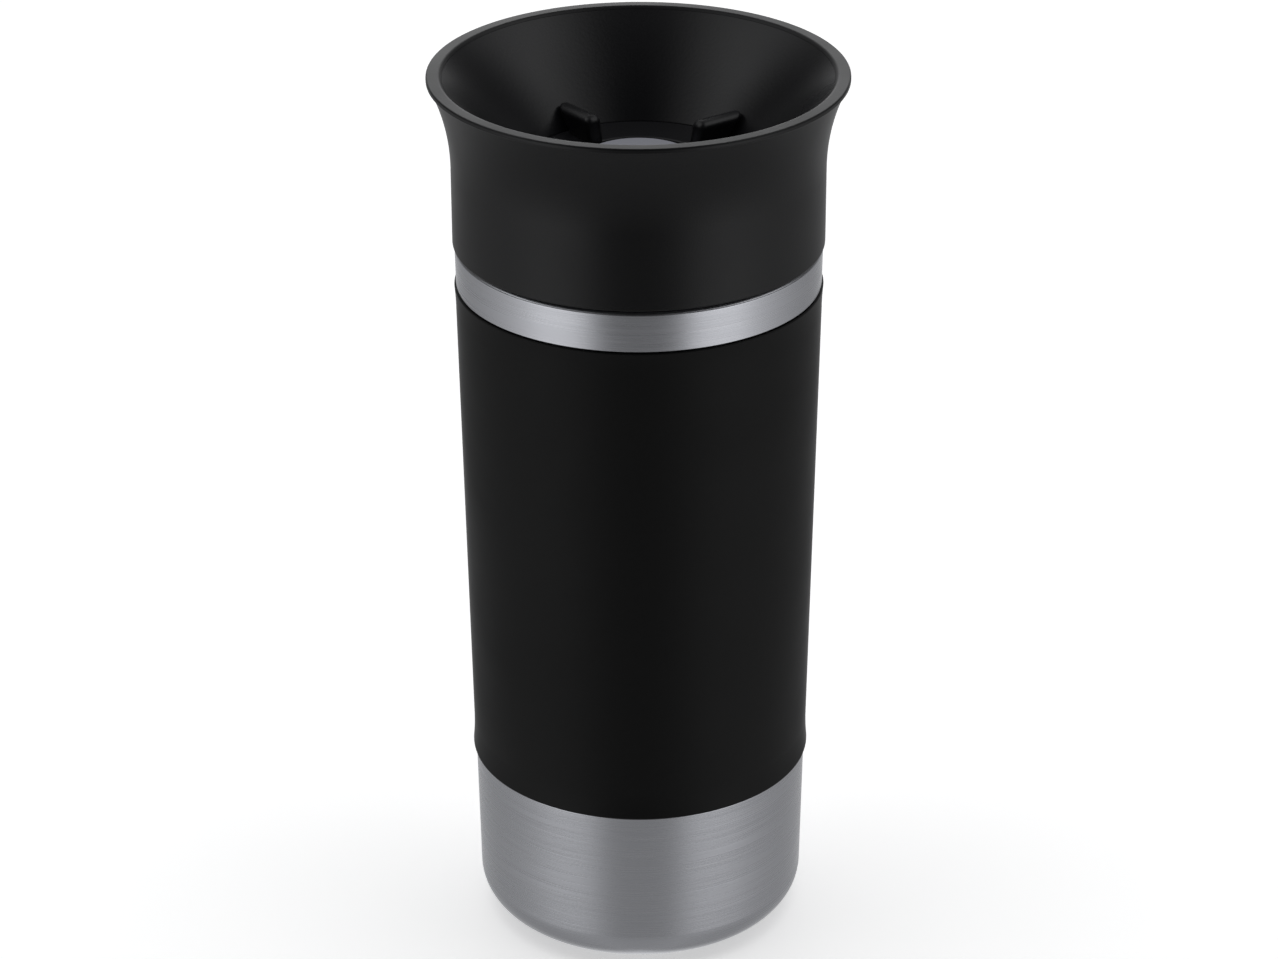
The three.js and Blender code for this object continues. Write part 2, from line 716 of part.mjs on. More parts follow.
function closureCage() {
  const linerOuter = capBore - 2 * FIT;
  const seatRadius = capTube - FIT;
  const liner = revolve(
    [
      [seatBore, seatBottom],
      [seatRadius, seatBottom],
      [seatRadius, seatBottom + SEAT_THICKNESS],
      [linerOuter, seatBottom + SEAT_THICKNESS],
      [linerOuter, floorHeight - SPOKE_TOP],
      [seatBore, floorHeight - SPOKE_TOP],
    ],
    MEDIUM_FACETS,
  );
  const guide = revolve(
    [
      [STEM_RADIUS + FIT, guideFloor],
      [GUIDE_RADIUS, guideFloor],
      [GUIDE_RADIUS, guideTop],
      [guideBore, guideTop],
      [guideBore, springFoot],
      [STEM_RADIUS + FIT, springFoot],
    ],
    SMALL_FACETS,
  );
  const spokeBottom = floorHeight - SPOKE_TOP - SPOKE_HEIGHT;
  const spokes = aroundAxis(SPOKE_COUNT, 0, (angle) =>
    radialBlock(
      (GUIDE_RADIUS + guideBore) / 2,
      (seatBore + linerOuter) / 2,
      SPOKE_WIDTH,
      spokeBottom,
      floorHeight - SPOKE_TOP - FIT,
      angle,
    ),
  );
  return join(liner, guide, ...spokes);
}

function camSleeve() {
  const tube = ring(camBore, camOuter, springFoot + FIT, guideTop, SMALL_FACETS);
  const ribTop = guideTop - FIT;
  const ribs = aroundAxis(HALF_TEETH, 0, (angle) =>
    radialBlock(
      camBore - RIB_DEPTH,
      camBore + SLEEVE_THICKNESS / 2,
      RIB_WIDTH,
      ribTop - RIB_LENGTH,
      ribTop,
      angle,
    ),
  );
  return join(tube, ...ribs);
}

class SpringCurve extends THREE.Curve {
  constructor(radius, bottom, top) {
    super();
    this.radius = radius;
    this.bottom = bottom;
    this.top = top;
  }

  getPoint(share, target = new THREE.Vector3()) {
    const angle = share * SPRING_TURNS * 2 * Math.PI;
    const height = this.bottom + (this.top - this.bottom) * share;
    return target.set(this.radius * Math.cos(angle), this.radius * Math.sin(angle), height);
  }
}

function returnSpring() {
  const clear = SPRING_WIRE / 2 + FIT;
  const radius = (STEM_RADIUS + camBore) / 2 - FIT / 2;
  const path = new SpringCurve(radius, springFoot + clear, collarBottom - clear);
  const wire = new THREE.Shape();
  wire.absarc(0, 0, SPRING_WIRE / 2, 0, 2 * Math.PI);
  return new THREE.ExtrudeGeometry(wire, {
    steps: SPRING_TURNS * 12,
    curveSegments: 5,
    bevelEnabled: false,
    extrudePath: path,
  });
}

addPiece(
  'closure_seal_ring',
  ring(
    capTube + 2 * FIT,
    capRadius - FIT,
    ledgeHeight + FIT,
    ledgeHeight + FIT + CAP_SEAL_HEIGHT,
    MEDIUM_FACETS,
    FIT,
  ),
  clearSilicone,
);
addPiece('closure_cap', closureCap(), blackPlastic);
addPiece('closure_cage', closureCage(), blackPlastic);
addPiece('cam_sleeve', camSleeve(), whitePlastic);
addPiece('return_spring', returnSpring(), plainSteel);

// ---- Button, latch and valve ----

function buttonCap() {
  const skirtInner = BUTTON_RADIUS - BUTTON_WALL;
  const skirtBottom = buttonTop - BUTTON_SKIRT;
  const edge = BUTTON_CROWN * 2;
  return revolve(
    [
      [0, buttonTop],
      [0, buttonUnder],
      [BOSS_BORE, buttonUnder],
      [BOSS_BORE, bossBottom],
      [BOSS_RADIUS, bossBottom],
      [BOSS_RADIUS, buttonUnder],
      [skirtInner, buttonUnder],
      [skirtInner, skirtBottom],
      [BUTTON_RADIUS, skirtBottom],
      [BUTTON_RADIUS, buttonTop - BUTTON_CROWN - edge],
      [BUTTON_RADIUS - edge, buttonTop - BUTTON_CROWN],
      [BUTTON_RADIUS / 2, buttonTop - BUTTON_CROWN / 4],
    ],
    MEDIUM_FACETS,
  );
}

function buttonPlunger() {
  const bodyTop = bossBottom - FIT;
  const stubTop = buttonUnder - FIT;
  const stubRadius = BOSS_BORE - FIT;
  const body = revolve(
    [
      [0, stubTop],
      [0, plungerBottom + STEM_SOCKET],
      [STEM_RADIUS + FIT, plungerBottom + STEM_SOCKET],
      [STEM_RADIUS + FIT, plungerBottom],
      [PLUNGER_RADIUS, plungerBottom],
      [PLUNGER_RADIUS, bodyTop],
      [stubRadius, bodyTop],
      [stubRadius, stubTop],
    ],
    TOOTH_COUNT * 4,
  );
  const lugs = aroundAxis(HALF_TEETH, 360 / TOOTH_COUNT, (angle) =>
    radialBlock(
      PLUNGER_RADIUS - LUG_REACH / 2,
      PLUNGER_RADIUS + LUG_REACH,
      LUG_WIDTH,
      plungerBottom + TOOTH_HEIGHT + FIT,
      bodyTop - FIT,
      angle,
    ),
  );
  return join(crownTeeth(body, plungerBottom, TOOTH_HEIGHT), ...lugs);
}

function latchRotor() {
  const body = ring(STEM_RADIUS + FIT, PLUNGER_RADIUS, rotorBottom, rotorTop, TOOTH_COUNT * 4);
  const lugs = aroundAxis(HALF_TEETH, 360 / TOOTH_COUNT, (angle) =>
    radialBlock(
      PLUNGER_RADIUS - LUG_REACH / 2,
      PLUNGER_RADIUS + LUG_REACH,
      LUG_WIDTH,
      rotorBottom + FIT,
      rotorTop - TOOTH_HEIGHT - FIT,
      angle,
    ),
  );
  return join(crownTeeth(body, rotorTop, -TOOTH_HEIGHT), ...lugs);
}

function valveStem() {
  const tip = plungerBottom + STEM_SOCKET - FIT;
  const neckTop = clipTop + FIT / 2;
  const neckBottom = clipTop - CLIP_THICKNESS - FIT / 2;
  return revolve(
    [
      [0, tip],
      [0, stemBottom],
      [STEM_RADIUS, stemBottom],
      [STEM_RADIUS, neckBottom],
      [STEM_NECK, neckBottom],
      [STEM_NECK, neckTop],
      [STEM_RADIUS, neckTop],
      [STEM_RADIUS, collarBottom],
      [STEM_COLLAR, collarBottom],
      [STEM_COLLAR, collarTop],
      [STEM_RADIUS, collarTop],
      [STEM_RADIUS, tip],
    ],
    SMALL_FACETS,
  );
}

const valveSealOuter = valveRadius - FIT;
const valveSealInner = valveSealOuter - VALVE_SEAL_WIDTH;

function valveDisc() {
  const bore = STEM_RADIUS + FIT;
  return revolve(
    [
      [bore, valveTop],
      [bore, hubBottom],
      [HUB_RADIUS, hubBottom],
      [HUB_RADIUS + HUB_HEIGHT / 2, valveBottom],
      [valveRadius - VALVE_THICKNESS / 2, valveBottom],
      [valveRadius, valveBottom + VALVE_THICKNESS / 2],
      [valveRadius, valveTop],
    ],
    MEDIUM_FACETS,
  );
}

function valveClip() {
  const bottom = clipTop - CLIP_THICKNESS;
  const washer = ring(STEM_NECK + FIT, CLIP_RADIUS, bottom, clipTop, SMALL_FACETS);
  const mouth = radialBlock(0, CLIP_RADIUS + 1, CLIP_OPENING, bottom - 1, clipTop + 1, 90);
  return cut(washer, mouth);
}

addPiece('button_cap', buttonCap(), greyPlastic);
addPiece('button_plunger', buttonPlunger(), whitePlastic);
addPiece(
  'button_seal',
  ring(
    GUIDE_RADIUS + FIT,
    BUTTON_RADIUS - BUTTON_WALL - FIT,
    buttonTop - BUTTON_SKIRT,
    buttonTop - BUTTON_SKIRT + BUTTON_WALL,
    SMALL_FACETS,
  ),
  clearSilicone,
);
addPiece('latch_rotor', latchRotor(), whitePlastic);
addPiece('valve_stem', valveStem(), plainSteel);
addPiece('valve_disc', valveDisc(), blackPlastic);
const valveSealFoot = valveTop + FIT;
const valveSealTop = valveSealFoot + VALVE_SEAL_HEIGHT;
addPiece(
  'valve_seal',
  ring(valveSealInner, valveSealOuter, valveSealFoot, valveSealTop, MEDIUM_FACETS, FIT),
  clearSilicone,
);
addPiece('valve_clip', valveClip(), plainSteel);

export default object;
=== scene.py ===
import json
import math

import bmesh
import bpy
from bpy.props import FloatProperty, FloatVectorProperty, IntProperty, PointerProperty
from mathutils import Matrix, Vector


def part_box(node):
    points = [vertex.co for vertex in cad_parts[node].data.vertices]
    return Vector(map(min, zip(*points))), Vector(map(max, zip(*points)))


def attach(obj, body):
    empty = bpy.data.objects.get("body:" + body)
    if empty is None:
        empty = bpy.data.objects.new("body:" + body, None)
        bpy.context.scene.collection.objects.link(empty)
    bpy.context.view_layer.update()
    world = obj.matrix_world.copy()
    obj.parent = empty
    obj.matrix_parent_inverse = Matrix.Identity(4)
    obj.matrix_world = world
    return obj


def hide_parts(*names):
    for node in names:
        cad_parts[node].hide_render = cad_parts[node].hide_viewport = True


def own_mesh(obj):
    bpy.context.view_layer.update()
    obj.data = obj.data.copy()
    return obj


bl_info = {
    "name": "Insulated tumbler",
    "version": (1, 0, 0),
    "blender": (4, 5, 0),
    "location": "View3D > Sidebar > Tumbler",
    "description": "Builds an insulated steel tumbler with a push-button drinking lid",
    "category": "Add Mesh",
}

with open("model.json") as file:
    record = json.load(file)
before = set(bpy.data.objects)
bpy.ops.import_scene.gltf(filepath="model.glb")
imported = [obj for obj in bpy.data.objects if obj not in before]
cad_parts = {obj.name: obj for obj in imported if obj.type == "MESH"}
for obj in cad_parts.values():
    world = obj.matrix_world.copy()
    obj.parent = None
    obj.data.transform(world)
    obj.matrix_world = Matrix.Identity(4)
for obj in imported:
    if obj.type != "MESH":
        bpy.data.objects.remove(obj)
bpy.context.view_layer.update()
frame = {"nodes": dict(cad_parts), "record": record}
MM = 0.001
FIT = 0.25 * MM
UP = Vector((0, 0, 1))
CREASE_ANGLE = math.radians(38)
THREAD_SWEEP = 95
LUG_SWEEP = 40
TIP_SHARE = 0.6
SPRING_TURNS = 5
LENS = 112.5
EYE = (-0.1 * MM, -789.0 * MM, 489.8 * MM)
EYE_TILT = math.radians(63.95)
EYE_ROLL = math.radians(-0.16)


def linear(code):
    """An sRGB hex colour as linear RGB."""
    channels = [int(code[start:start + 2], 16) / 255 for start in (0, 2, 4)]
    return tuple(c / 12.92 if c <= 0.04045 else ((c + 0.055) / 1.055) ** 2.4 for c in channels)


def low(node):
    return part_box(node)[0].z


def high(node):
    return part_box(node)[1].z


def reach(node):
    """The largest radius of a CAD node that is round about Z."""
    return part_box(node)[1].x


# ---- Sizes and colours a user would change ----

def length(name, description, default_mm):
    return FloatProperty(
        name=name, description=description, default=default_mm * MM, unit="LENGTH", precision=5)


def tint(name, description, code):
    return FloatVectorProperty(
        name=name, description=description, default=linear(code), subtype="COLOR", min=0, max=1)


class TumblerSizes(bpy.types.PropertyGroup):
    taper: length("Taper", "How much narrower the body is at its base than at its shoulder", 3.1)
    corner: length("Base corner", "Radius of the rounded corner under the body", 8.4)
    steel: length("Steel wall", "Thickness of both steel shells", 0.6)
    vacuum: length("Vacuum gap", "Space between the shells", 3.0)
    seam: length("Lid seam", "Gap between the shoulder and the lid's skirt", 0.4)
    sleeve_wall: length("Sleeve wall", "Thickness of the silicone sleeve", 1.2)
    sleeve_lip: length("Sleeve lip", "How far the sleeve's ends stand out", 0.3)
    lip_height: length("Sleeve lip height", "Height over which the sleeve swells to each end", 6.0)
    proud_top: length("Sleeve over steel, top", "How far the sleeve stands out under its top bead", 0.1)
    proud_bottom: length("Sleeve over steel, bottom", "How far the sleeve stands out over its bead", 0.35)
    skirt: length("Skirt height", "Straight part of the lid's collar", 16.9)
    flare: length("Flare radius", "Radius of the collar's outward curve", 47.1)
    flare_height: length("Flare height", "Height of the collar's outward curve", 19.1)
    overhang: length("Lip overhang", "How far the lip stands out over the flare", 0.72)
    lip_width: length("Lip width", "Width of the drinking lip's top", 3.3)
    collar_wall: length("Collar wall", "Thickness of the collar", 1.8)
    lip_depth: length("Lip depth", "Depth of the lip's inner face", 2.2)
    funnel_wall: length("Funnel wall", "Thickness of the funnel", 2.0)
    funnel_bow: length("Funnel bow", "How far the funnel's wall bows from straight", 0.9)
    fin_thickness: length("Fin thickness", "Thickness of a grip fin", 4.0)
    fin_height: length("Fin height", "Height of a grip fin over the cap", 5.45)
    slot: length("Drinking slot", "Gap round the button", 2.6)
    press: length("Button travel", "How far the button goes down", 4.5)
    neck_gap: length("Neck gap", "Space between the shells at the mouth", 0.8)
    thread_lead: length("Thread lead", "How far the lid climbs in one turn", 14)
    thread_depth: length("Thread depth", "Depth of the mouth's thread", 1.2)
    thread_width: length("Thread width", "Width of a thread ridge at its root", 1.2)
    thread_room: length("Thread room", "Space over the tip of a thread or lug", 0.6)
    thread_drop: length("Thread drop", "How far the thread starts under the rim", 3.0)
    throat: length("Throat", "Radius of the lid's throat", 20.6)
    lug_lead: length("Lug lead", "How far the closure climbs in one turn", 36)
    lug_depth: length("Lug depth", "Depth of the closure's lugs", 1.1)
    lug_width: length("Lug width", "Width of a lug at its root", 2.0)
    cap_thickness: length("Cap thickness", "Thickness of the closure's disc", 2.3)
    cap_wall: length("Cap wall", "Thickness of the closure's tube", 1.8)
    button_proud: length("Button stand", "How far the button stands over the closure", 1.2)
    guide: length("Guide", "Radius of the tube that guides the button", 8.6)
    guide_wall: length("Guide wall", "Thickness of the guide tube", 1.6)
    stem: length("Stem", "Radius of the valve's stem", 2.2)
    wire: length("Spring wire", "Radius of the spring's wire", 0.3)
    spin_steps: IntProperty(
        name="Roundness", description="Steps round each turned piece", default=160, min=48)


class TumblerColours(bpy.types.PropertyGroup):
    steel: tint("Brushed steel", "Outer shell", "C6C7CC")
    liner: tint("Drawn steel", "Liner, base, stem and clip", "B2B3B5")
    lid: tint("Black polypropylene", "Collar and plug", "0A0A0C")
    funnel: tint("Grained polypropylene", "Funnel and closure", "121214")
    sleeve: tint("Black silicone", "Sleeve and foot", "0E0E0E")
    button: tint("Grey polypropylene", "Button", "8A8B93")
    seal: tint("Milky silicone", "Seal rings", "C3C6C2")
    acetal: tint("White acetal", "Latch parts", "DEDED8")
    floor: tint("Floor", "Pale studio floor", "FAFAFA")


# ---- Materials ----

def add(tree, kind, inputs=None, **settings):
    """Adds a node; inputs maps a socket's name or number to a value or to another node's output."""
    made = tree.nodes.new(kind)
    for name, value in settings.items():
        setattr(made, name, value)
    for name, value in (inputs or {}).items():
        if isinstance(value, bpy.types.NodeSocket):
            tree.links.new(value, made.inputs[name])
        else:
            made.inputs[name].default_value = value
    return made


def start_material(name):
    """A material with an empty tree and its output: returns both."""
    made = bpy.data.materials.new(name)
    made.use_nodes = True
    made.node_tree.nodes.clear()
    return made, made.node_tree


def close_material(tree, shader):
    add(tree, "ShaderNodeOutputMaterial", {"Surface": shader.outputs["BSDF"]})


def opaque(colour):
    return (*colour, 1.0)


def brushed_steel(name, colour, streak_mm, roughness, depth):
    """Stainless steel brushed round the body: hairlines across the height that blur a reflection up and down
    and leave its sides crisp, with slow cloudy changes in polish."""
    made, tree = start_material(name)
    place = add(tree, "ShaderNodeTexCoord").outputs["Object"]
    across = 1 / (streak_mm * MM)
    along = across / 260
    lines = add(tree, "ShaderNodeMapping", {"Vector": place, "Scale": (along, along, across)})
    hair = add(tree, "ShaderNodeTexNoise", {
        "Vector": lines.outputs["Vector"], "Scale": 1.0, "Detail": 5.0, "Roughness": 0.62})
    coarse_place = add(tree, "ShaderNodeMapping", {"Vector": place, "Scale": (along, along, across / 7)})
    coarse = add(tree, "ShaderNodeTexNoise", {
        "Vector": coarse_place.outputs["Vector"], "Scale": 1.0, "Detail": 3.0, "Roughness": 0.5})
    cloud = add(tree, "ShaderNodeTexNoise", {"Vector": place, "Scale": 45.0, "Detail": 2.0})
    blend = add(tree, "ShaderNodeMath", {0: hair.outputs["Fac"], 1: coarse.outputs["Fac"]}, operation="ADD")
    rough = add(tree, "ShaderNodeMapRange", {
        "Value": blend.outputs["Value"], "From Min": 0.6, "From Max": 1.4,
        "To Min": roughness - 0.07, "To Max": roughness + 0.09})
    shade = add(tree, "ShaderNodeMapRange", {
        "Value": blend.outputs["Value"], "From Min": 0.65, "From Max": 1.35, "To Min": 0.0, "To Max": 1.0})
    tone = add(tree, "ShaderNodeMix", {
        0: shade.outputs["Result"], 6: opaque([c * 0.86 for c in colour]), 7: opaque(colour)},
        data_type="RGBA")
    cloudy = add(tree, "ShaderNodeMix", {
        0: cloud.outputs["Fac"], 6: tone.outputs[2], 7: opaque([c * 0.97 for c in colour])}, data_type="RGBA")
    cloudy.inputs[0].default_value = 0.3
    bump = add(tree, "ShaderNodeBump", {
        "Height": blend.outputs["Value"], "Strength": depth, "Distance": 0.02 * MM})
    shader = add(tree, "ShaderNodeBsdfPrincipled", {
        "Base Color": cloudy.outputs[2], "Metallic": 1.0, "Roughness": rough.outputs["Result"],
        "Normal": bump.outputs["Normal"], "Anisotropic": 0.0})
    close_material(tree, shader)
    return made


def moulded_plastic(name, colour, roughness, level, grain_mm, grain_depth):
    """Injection-moulded polypropylene from a spark-eroded mould: a satin skin whose fine pits break the
    highlight into a soft grain, a little smoother where it has been handled."""
    made, tree = start_material(name)
    place = add(tree, "ShaderNodeTexCoord").outputs["Object"]
    grain = add(tree, "ShaderNodeTexNoise", {
        "Vector": place, "Scale": 1 / (grain_mm * MM), "Detail": 3.0, "Roughness": 0.6})
    pits = add(tree, "ShaderNodeTexVoronoi", {
        "Vector": place, "Scale": 1 / (grain_mm * 1.7 * MM), "Randomness": 1.0}, feature="SMOOTH_F1")
    height = add(tree, "ShaderNodeMath", {
        0: grain.outputs["Fac"], 1: pits.outputs["Distance"]}, operation="ADD")
    handled = add(tree, "ShaderNodeTexNoise", {"Vector": place, "Scale": 38.0, "Detail": 3.0})
    rough = add(tree, "ShaderNodeMapRange", {
        "Value": handled.outputs["Fac"], "From Min": 0.3, "From Max": 0.7,
        "To Min": roughness - 0.035, "To Max": roughness + 0.035})
    tone = add(tree, "ShaderNodeMix", {
        0: grain.outputs["Fac"],
        6: opaque([c * 0.85 for c in colour]),
        7: opaque([c * 1.15 for c in colour])},
        data_type="RGBA")
    bump = add(tree, "ShaderNodeBump", {
        "Height": height.outputs["Value"], "Strength": grain_depth, "Distance": 0.03 * MM})
    shader = add(tree, "ShaderNodeBsdfPrincipled", {
        "Base Color": tone.outputs[2], "Roughness": rough.outputs["Result"], "IOR": 1.49,
        "Specular IOR Level": level, "Normal": bump.outputs["Normal"]})
    close_material(tree, shader)
    return made


def matte_silicone(name, colour):
    """Moulded silicone rubber with a soft-touch skin: nearly no highlight, a pale bloom at a low angle,
    a fine tooth, and faint smudges where lint and fingers have polished it."""
    made, tree = start_material(name)
    place = add(tree, "ShaderNodeTexCoord").outputs["Object"]
    tooth = add(tree, "ShaderNodeTexNoise", {"Vector": place, "Scale": 1 / (0.35 * MM), "Detail": 3.0})
    smudge = add(tree, "ShaderNodeTexNoise", {
        "Vector": place, "Scale": 26.0, "Detail": 4.0, "Roughness": 0.55, "Distortion": 0.4})
    rough = add(tree, "ShaderNodeMapRange", {
        "Value": smudge.outputs["Fac"], "From Min": 0.32, "From Max": 0.68, "To Min": 0.42, "To Max": 0.5})
    tone = add(tree, "ShaderNodeMix", {
        0: tooth.outputs["Fac"], 6: opaque([c * 0.8 for c in colour]), 7: opaque([c * 1.2 for c in colour])},
        data_type="RGBA")
    bump = add(tree, "ShaderNodeBump", {
        "Height": tooth.outputs["Fac"], "Strength": 0.35, "Distance": 0.03 * MM})
    shader = add(tree, "ShaderNodeBsdfPrincipled", {
        "Base Color": tone.outputs[2], "Roughness": rough.outputs["Result"], "IOR": 1.41,
        "Specular IOR Level": 0.18, "Sheen Weight": 0.2, "Sheen Roughness": 0.14,
        "Normal": bump.outputs["Normal"]})
    close_material(tree, shader)
    return made


def milky_silicone(name, colour):
    """Unfilled silicone for the seals: light enters and softens every edge, and the skin has a dull shine."""
    made, tree = start_material(name)
    place = add(tree, "ShaderNodeTexCoord").outputs["Object"]
    haze = add(tree, "ShaderNodeTexNoise", {"Vector": place, "Scale": 220.0, "Detail": 2.0})
    rough = add(tree, "ShaderNodeMapRange", {
        "Value": haze.outputs["Fac"], "To Min": 0.36, "To Max": 0.5})
    shader = add(tree, "ShaderNodeBsdfPrincipled", {
        "Base Color": opaque(colour), "Roughness": rough.outputs["Result"], "IOR": 1.41,
        "Subsurface Weight": 0.35, "Subsurface Radius": (0.6 * MM, 0.6 * MM, 0.5 * MM),
        "Subsurface Scale": 1.0})
    close_material(tree, shader)
    return made


def turned_acetal(name, colour):
    """Moulded acetal for sliding parts: waxy white with a soft even shine and faint flow marks."""
    made, tree = start_material(name)
    place = add(tree, "ShaderNodeTexCoord").outputs["Object"]
    flow = add(tree, "ShaderNodeTexNoise", {
        "Vector": place, "Scale": 300.0, "Detail": 2.0, "Distortion": 1.2})
    rough = add(tree, "ShaderNodeMapRange", {"Value": flow.outputs["Fac"], "To Min": 0.28, "To Max": 0.42})
    shader = add(tree, "ShaderNodeBsdfPrincipled", {
        "Base Color": opaque(colour), "Roughness": rough.outputs["Result"], "IOR": 1.48})
    close_material(tree, shader)
    return made


def rolled_foil(name, code, roughness, wrinkle):
    """Thin rolled metal: bright, with shallow creases that catch light in flakes."""
    made, tree = start_material(name)
    place = add(tree, "ShaderNodeTexCoord").outputs["Object"]
    crease = add(tree, "ShaderNodeTexVoronoi", {"Vector": place, "Scale": 160.0}, feature="DISTANCE_TO_EDGE")
    bump = add(tree, "ShaderNodeBump", {
        "Height": crease.outputs["Distance"], "Strength": wrinkle, "Distance": 0.1 * MM})
    shader = add(tree, "ShaderNodeBsdfPrincipled", {
        "Base Color": opaque(linear(code)), "Metallic": 1.0, "Roughness": roughness,
        "Normal": bump.outputs["Normal"]})
    close_material(tree, shader)
    return made


MATERIALS = {}


def make_materials(colours):
    steel = tuple(colours.steel)
    liner = tuple(colours.liner)
    lid = tuple(colours.lid)
    funnel = tuple(colours.funnel)
    MATERIALS.update({
        "brushed_steel_shell": brushed_steel("brushed_stainless", steel, 0.16, 0.27, 0.5),
        "plain_steel": brushed_steel("drawn_stainless", liner, 0.5, 0.2, 0.15),
        "black_plastic": moulded_plastic("black_polypropylene", lid, 0.38, 0.3, 0.22, 0.3),
        "funnel_plastic": moulded_plastic("grained_polypropylene", funnel, 0.3, 0.34, 0.4, 0.4),
        "grey_plastic": moulded_plastic("grey_polypropylene", tuple(colours.button), 0.45, 0.4, 0.25, 0.15),
        "black_silicone": matte_silicone("black_silicone", tuple(colours.sleeve)),
        "clear_silicone": milky_silicone("milky_silicone", tuple(colours.seal)),
        "white_plastic": turned_acetal("white_acetal", tuple(colours.acetal)),
        "copper_foil": rolled_foil("copper_foil", "B87450", 0.22, 0.5),
        "solder": rolled_foil("melted_solder", "8A8D90", 0.4, 0.2),
    })


# ---- Mesh tools ----

def arc(centre_r, centre_z, radius, start, end, steps):
    """Points of an arc in the radius-height plane; degrees from the outward direction."""
    turns = [math.radians(start + (end - start) * step / steps) for step in range(steps + 1)]
    return [(centre_r + radius * math.cos(t), centre_z + radius * math.sin(t)) for t in turns]


def soften(corners, closed, steps=5):
    """Rounds each corner given as (radius, height, rounding) and keeps plain (radius, height) points."""
    count = len(corners)
    softened = []
    for index, corner in enumerate(corners):
        here = Vector(corner[:2])
        rounding = corner[2] if len(corner) > 2 else 0
        if not rounding or (not closed and index in (0, count - 1)):
            softened.append(here)
            continue
        before = Vector(corners[index - 1][:2]) - here
        after = Vector(corners[(index + 1) % count][:2]) - here
        half = before.angle(after) / 2
        cut = min(rounding / math.tan(half), before.length * 0.49, after.length * 0.49)
        start = here + before.normalized() * cut
        end = here + after.normalized() * cut
        for step in range(steps + 1):
            share = step / steps
            inner = start.lerp(here, share)
            outer = here.lerp(end, share)
            softened.append(inner.lerp(outer, share))
    return softened


def spin_outline(shape, outline, closed, steps):
    """Turns an outline about Z into shape, merging the ends of the full turn."""
    ring = [shape.verts.new((point[0], 0, point[1])) for point in outline]
    pairs = list(zip(ring, ring[1:]))
    if closed:
        pairs.append((ring[-1], ring[0]))
    edges = [shape.edges.new(pair) for pair in pairs]
    bmesh.ops.spin(
        shape, geom=ring + edges, cent=(0, 0, 0), axis=UP, angle=2 * math.pi, steps=steps, use_merge=True)


def tidy(shape):
    bmesh.ops.remove_doubles(shape, verts=shape.verts, dist=1e-6)
    bmesh.ops.dissolve_degenerate(shape, edges=shape.edges, dist=1e-7)
    bmesh.ops.recalc_face_normals(shape, faces=shape.faces)


def screw(shape, section, lead, start, sweep, steps):
    """Sweeps a closed section, points of (radius, height), round Z while it climbs, and closes both ends."""
    turn = Matrix.Rotation(math.radians(start), 3, "Z")
    ring = [shape.verts.new(turn @ Vector((radius, 0, height))) for radius, height in section]
    edges = [shape.edges.new((ring[index - 1], ring[index])) for index in range(len(ring))]
    rise = Vector((0, 0, lead * sweep / 360 / steps))
    made = bmesh.ops.spin(
        shape, geom=ring + edges, cent=(0, 0, 0), axis=UP, dvec=rise, angle=math.radians(sweep), steps=steps)
    last = [part for part in made["geom_last"] if isinstance(part, bmesh.types.BMVert)]
    shape.faces.new(ring)
    bmesh.ops.contextual_create(shape, geom=last)


def helical_bar(shape, root, tip, width, foot, lead, start, sweep):
    """A thread ridge or lug from its root radius to its narrower tip."""
    half = width / 2
    tip_half = half * TIP_SHARE
    section = [(root, foot - half), (tip, foot - tip_half), (tip, foot + tip_half), (root, foot + half)]
    screw(shape, section, lead, start, sweep, max(6, round(sweep / 3)))


def finish_piece(name, shape, material, body, node):
    """Turns a bmesh into a piece in place, dresses it, hangs it on the body it rides on and hides the CAD
    node it stands for.
    """
    tidy(shape)
    mesh = bpy.data.meshes.new(name)
    shape.to_mesh(mesh)
    shape.free()
    mesh.shade_smooth()
    mesh.set_sharp_from_angle(angle=CREASE_ANGLE)
    piece = bpy.data.objects.new(name, mesh)
    bpy.context.scene.collection.objects.link(piece)
    mesh.materials.append(MATERIALS[material])
    weighted = piece.modifiers.new("Even shading", "WEIGHTED_NORMAL")
    weighted.keep_sharp = True
    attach(piece, body)
    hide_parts(node)
    return piece


def turned_piece(name, corners, material, body, node, closed=True, extra=None, rounding=5):
    """A piece of revolution; extra adds more shape to it before it is finished."""
    shape = bmesh.new()
    steps = bpy.context.scene.tumbler_sizes.spin_steps
    spin_outline(shape, soften(corners, closed, rounding), closed, steps)
    if extra:
        extra(shape)
    return finish_piece(name, shape, material, body, node)


def plain_ring(inner, outer, bottom, top, rounding):
    return [
        (outer, bottom, rounding), (outer, top, rounding), (inner, top, rounding), (inner, bottom, rounding)]


# ---- Shared heights and radii ----

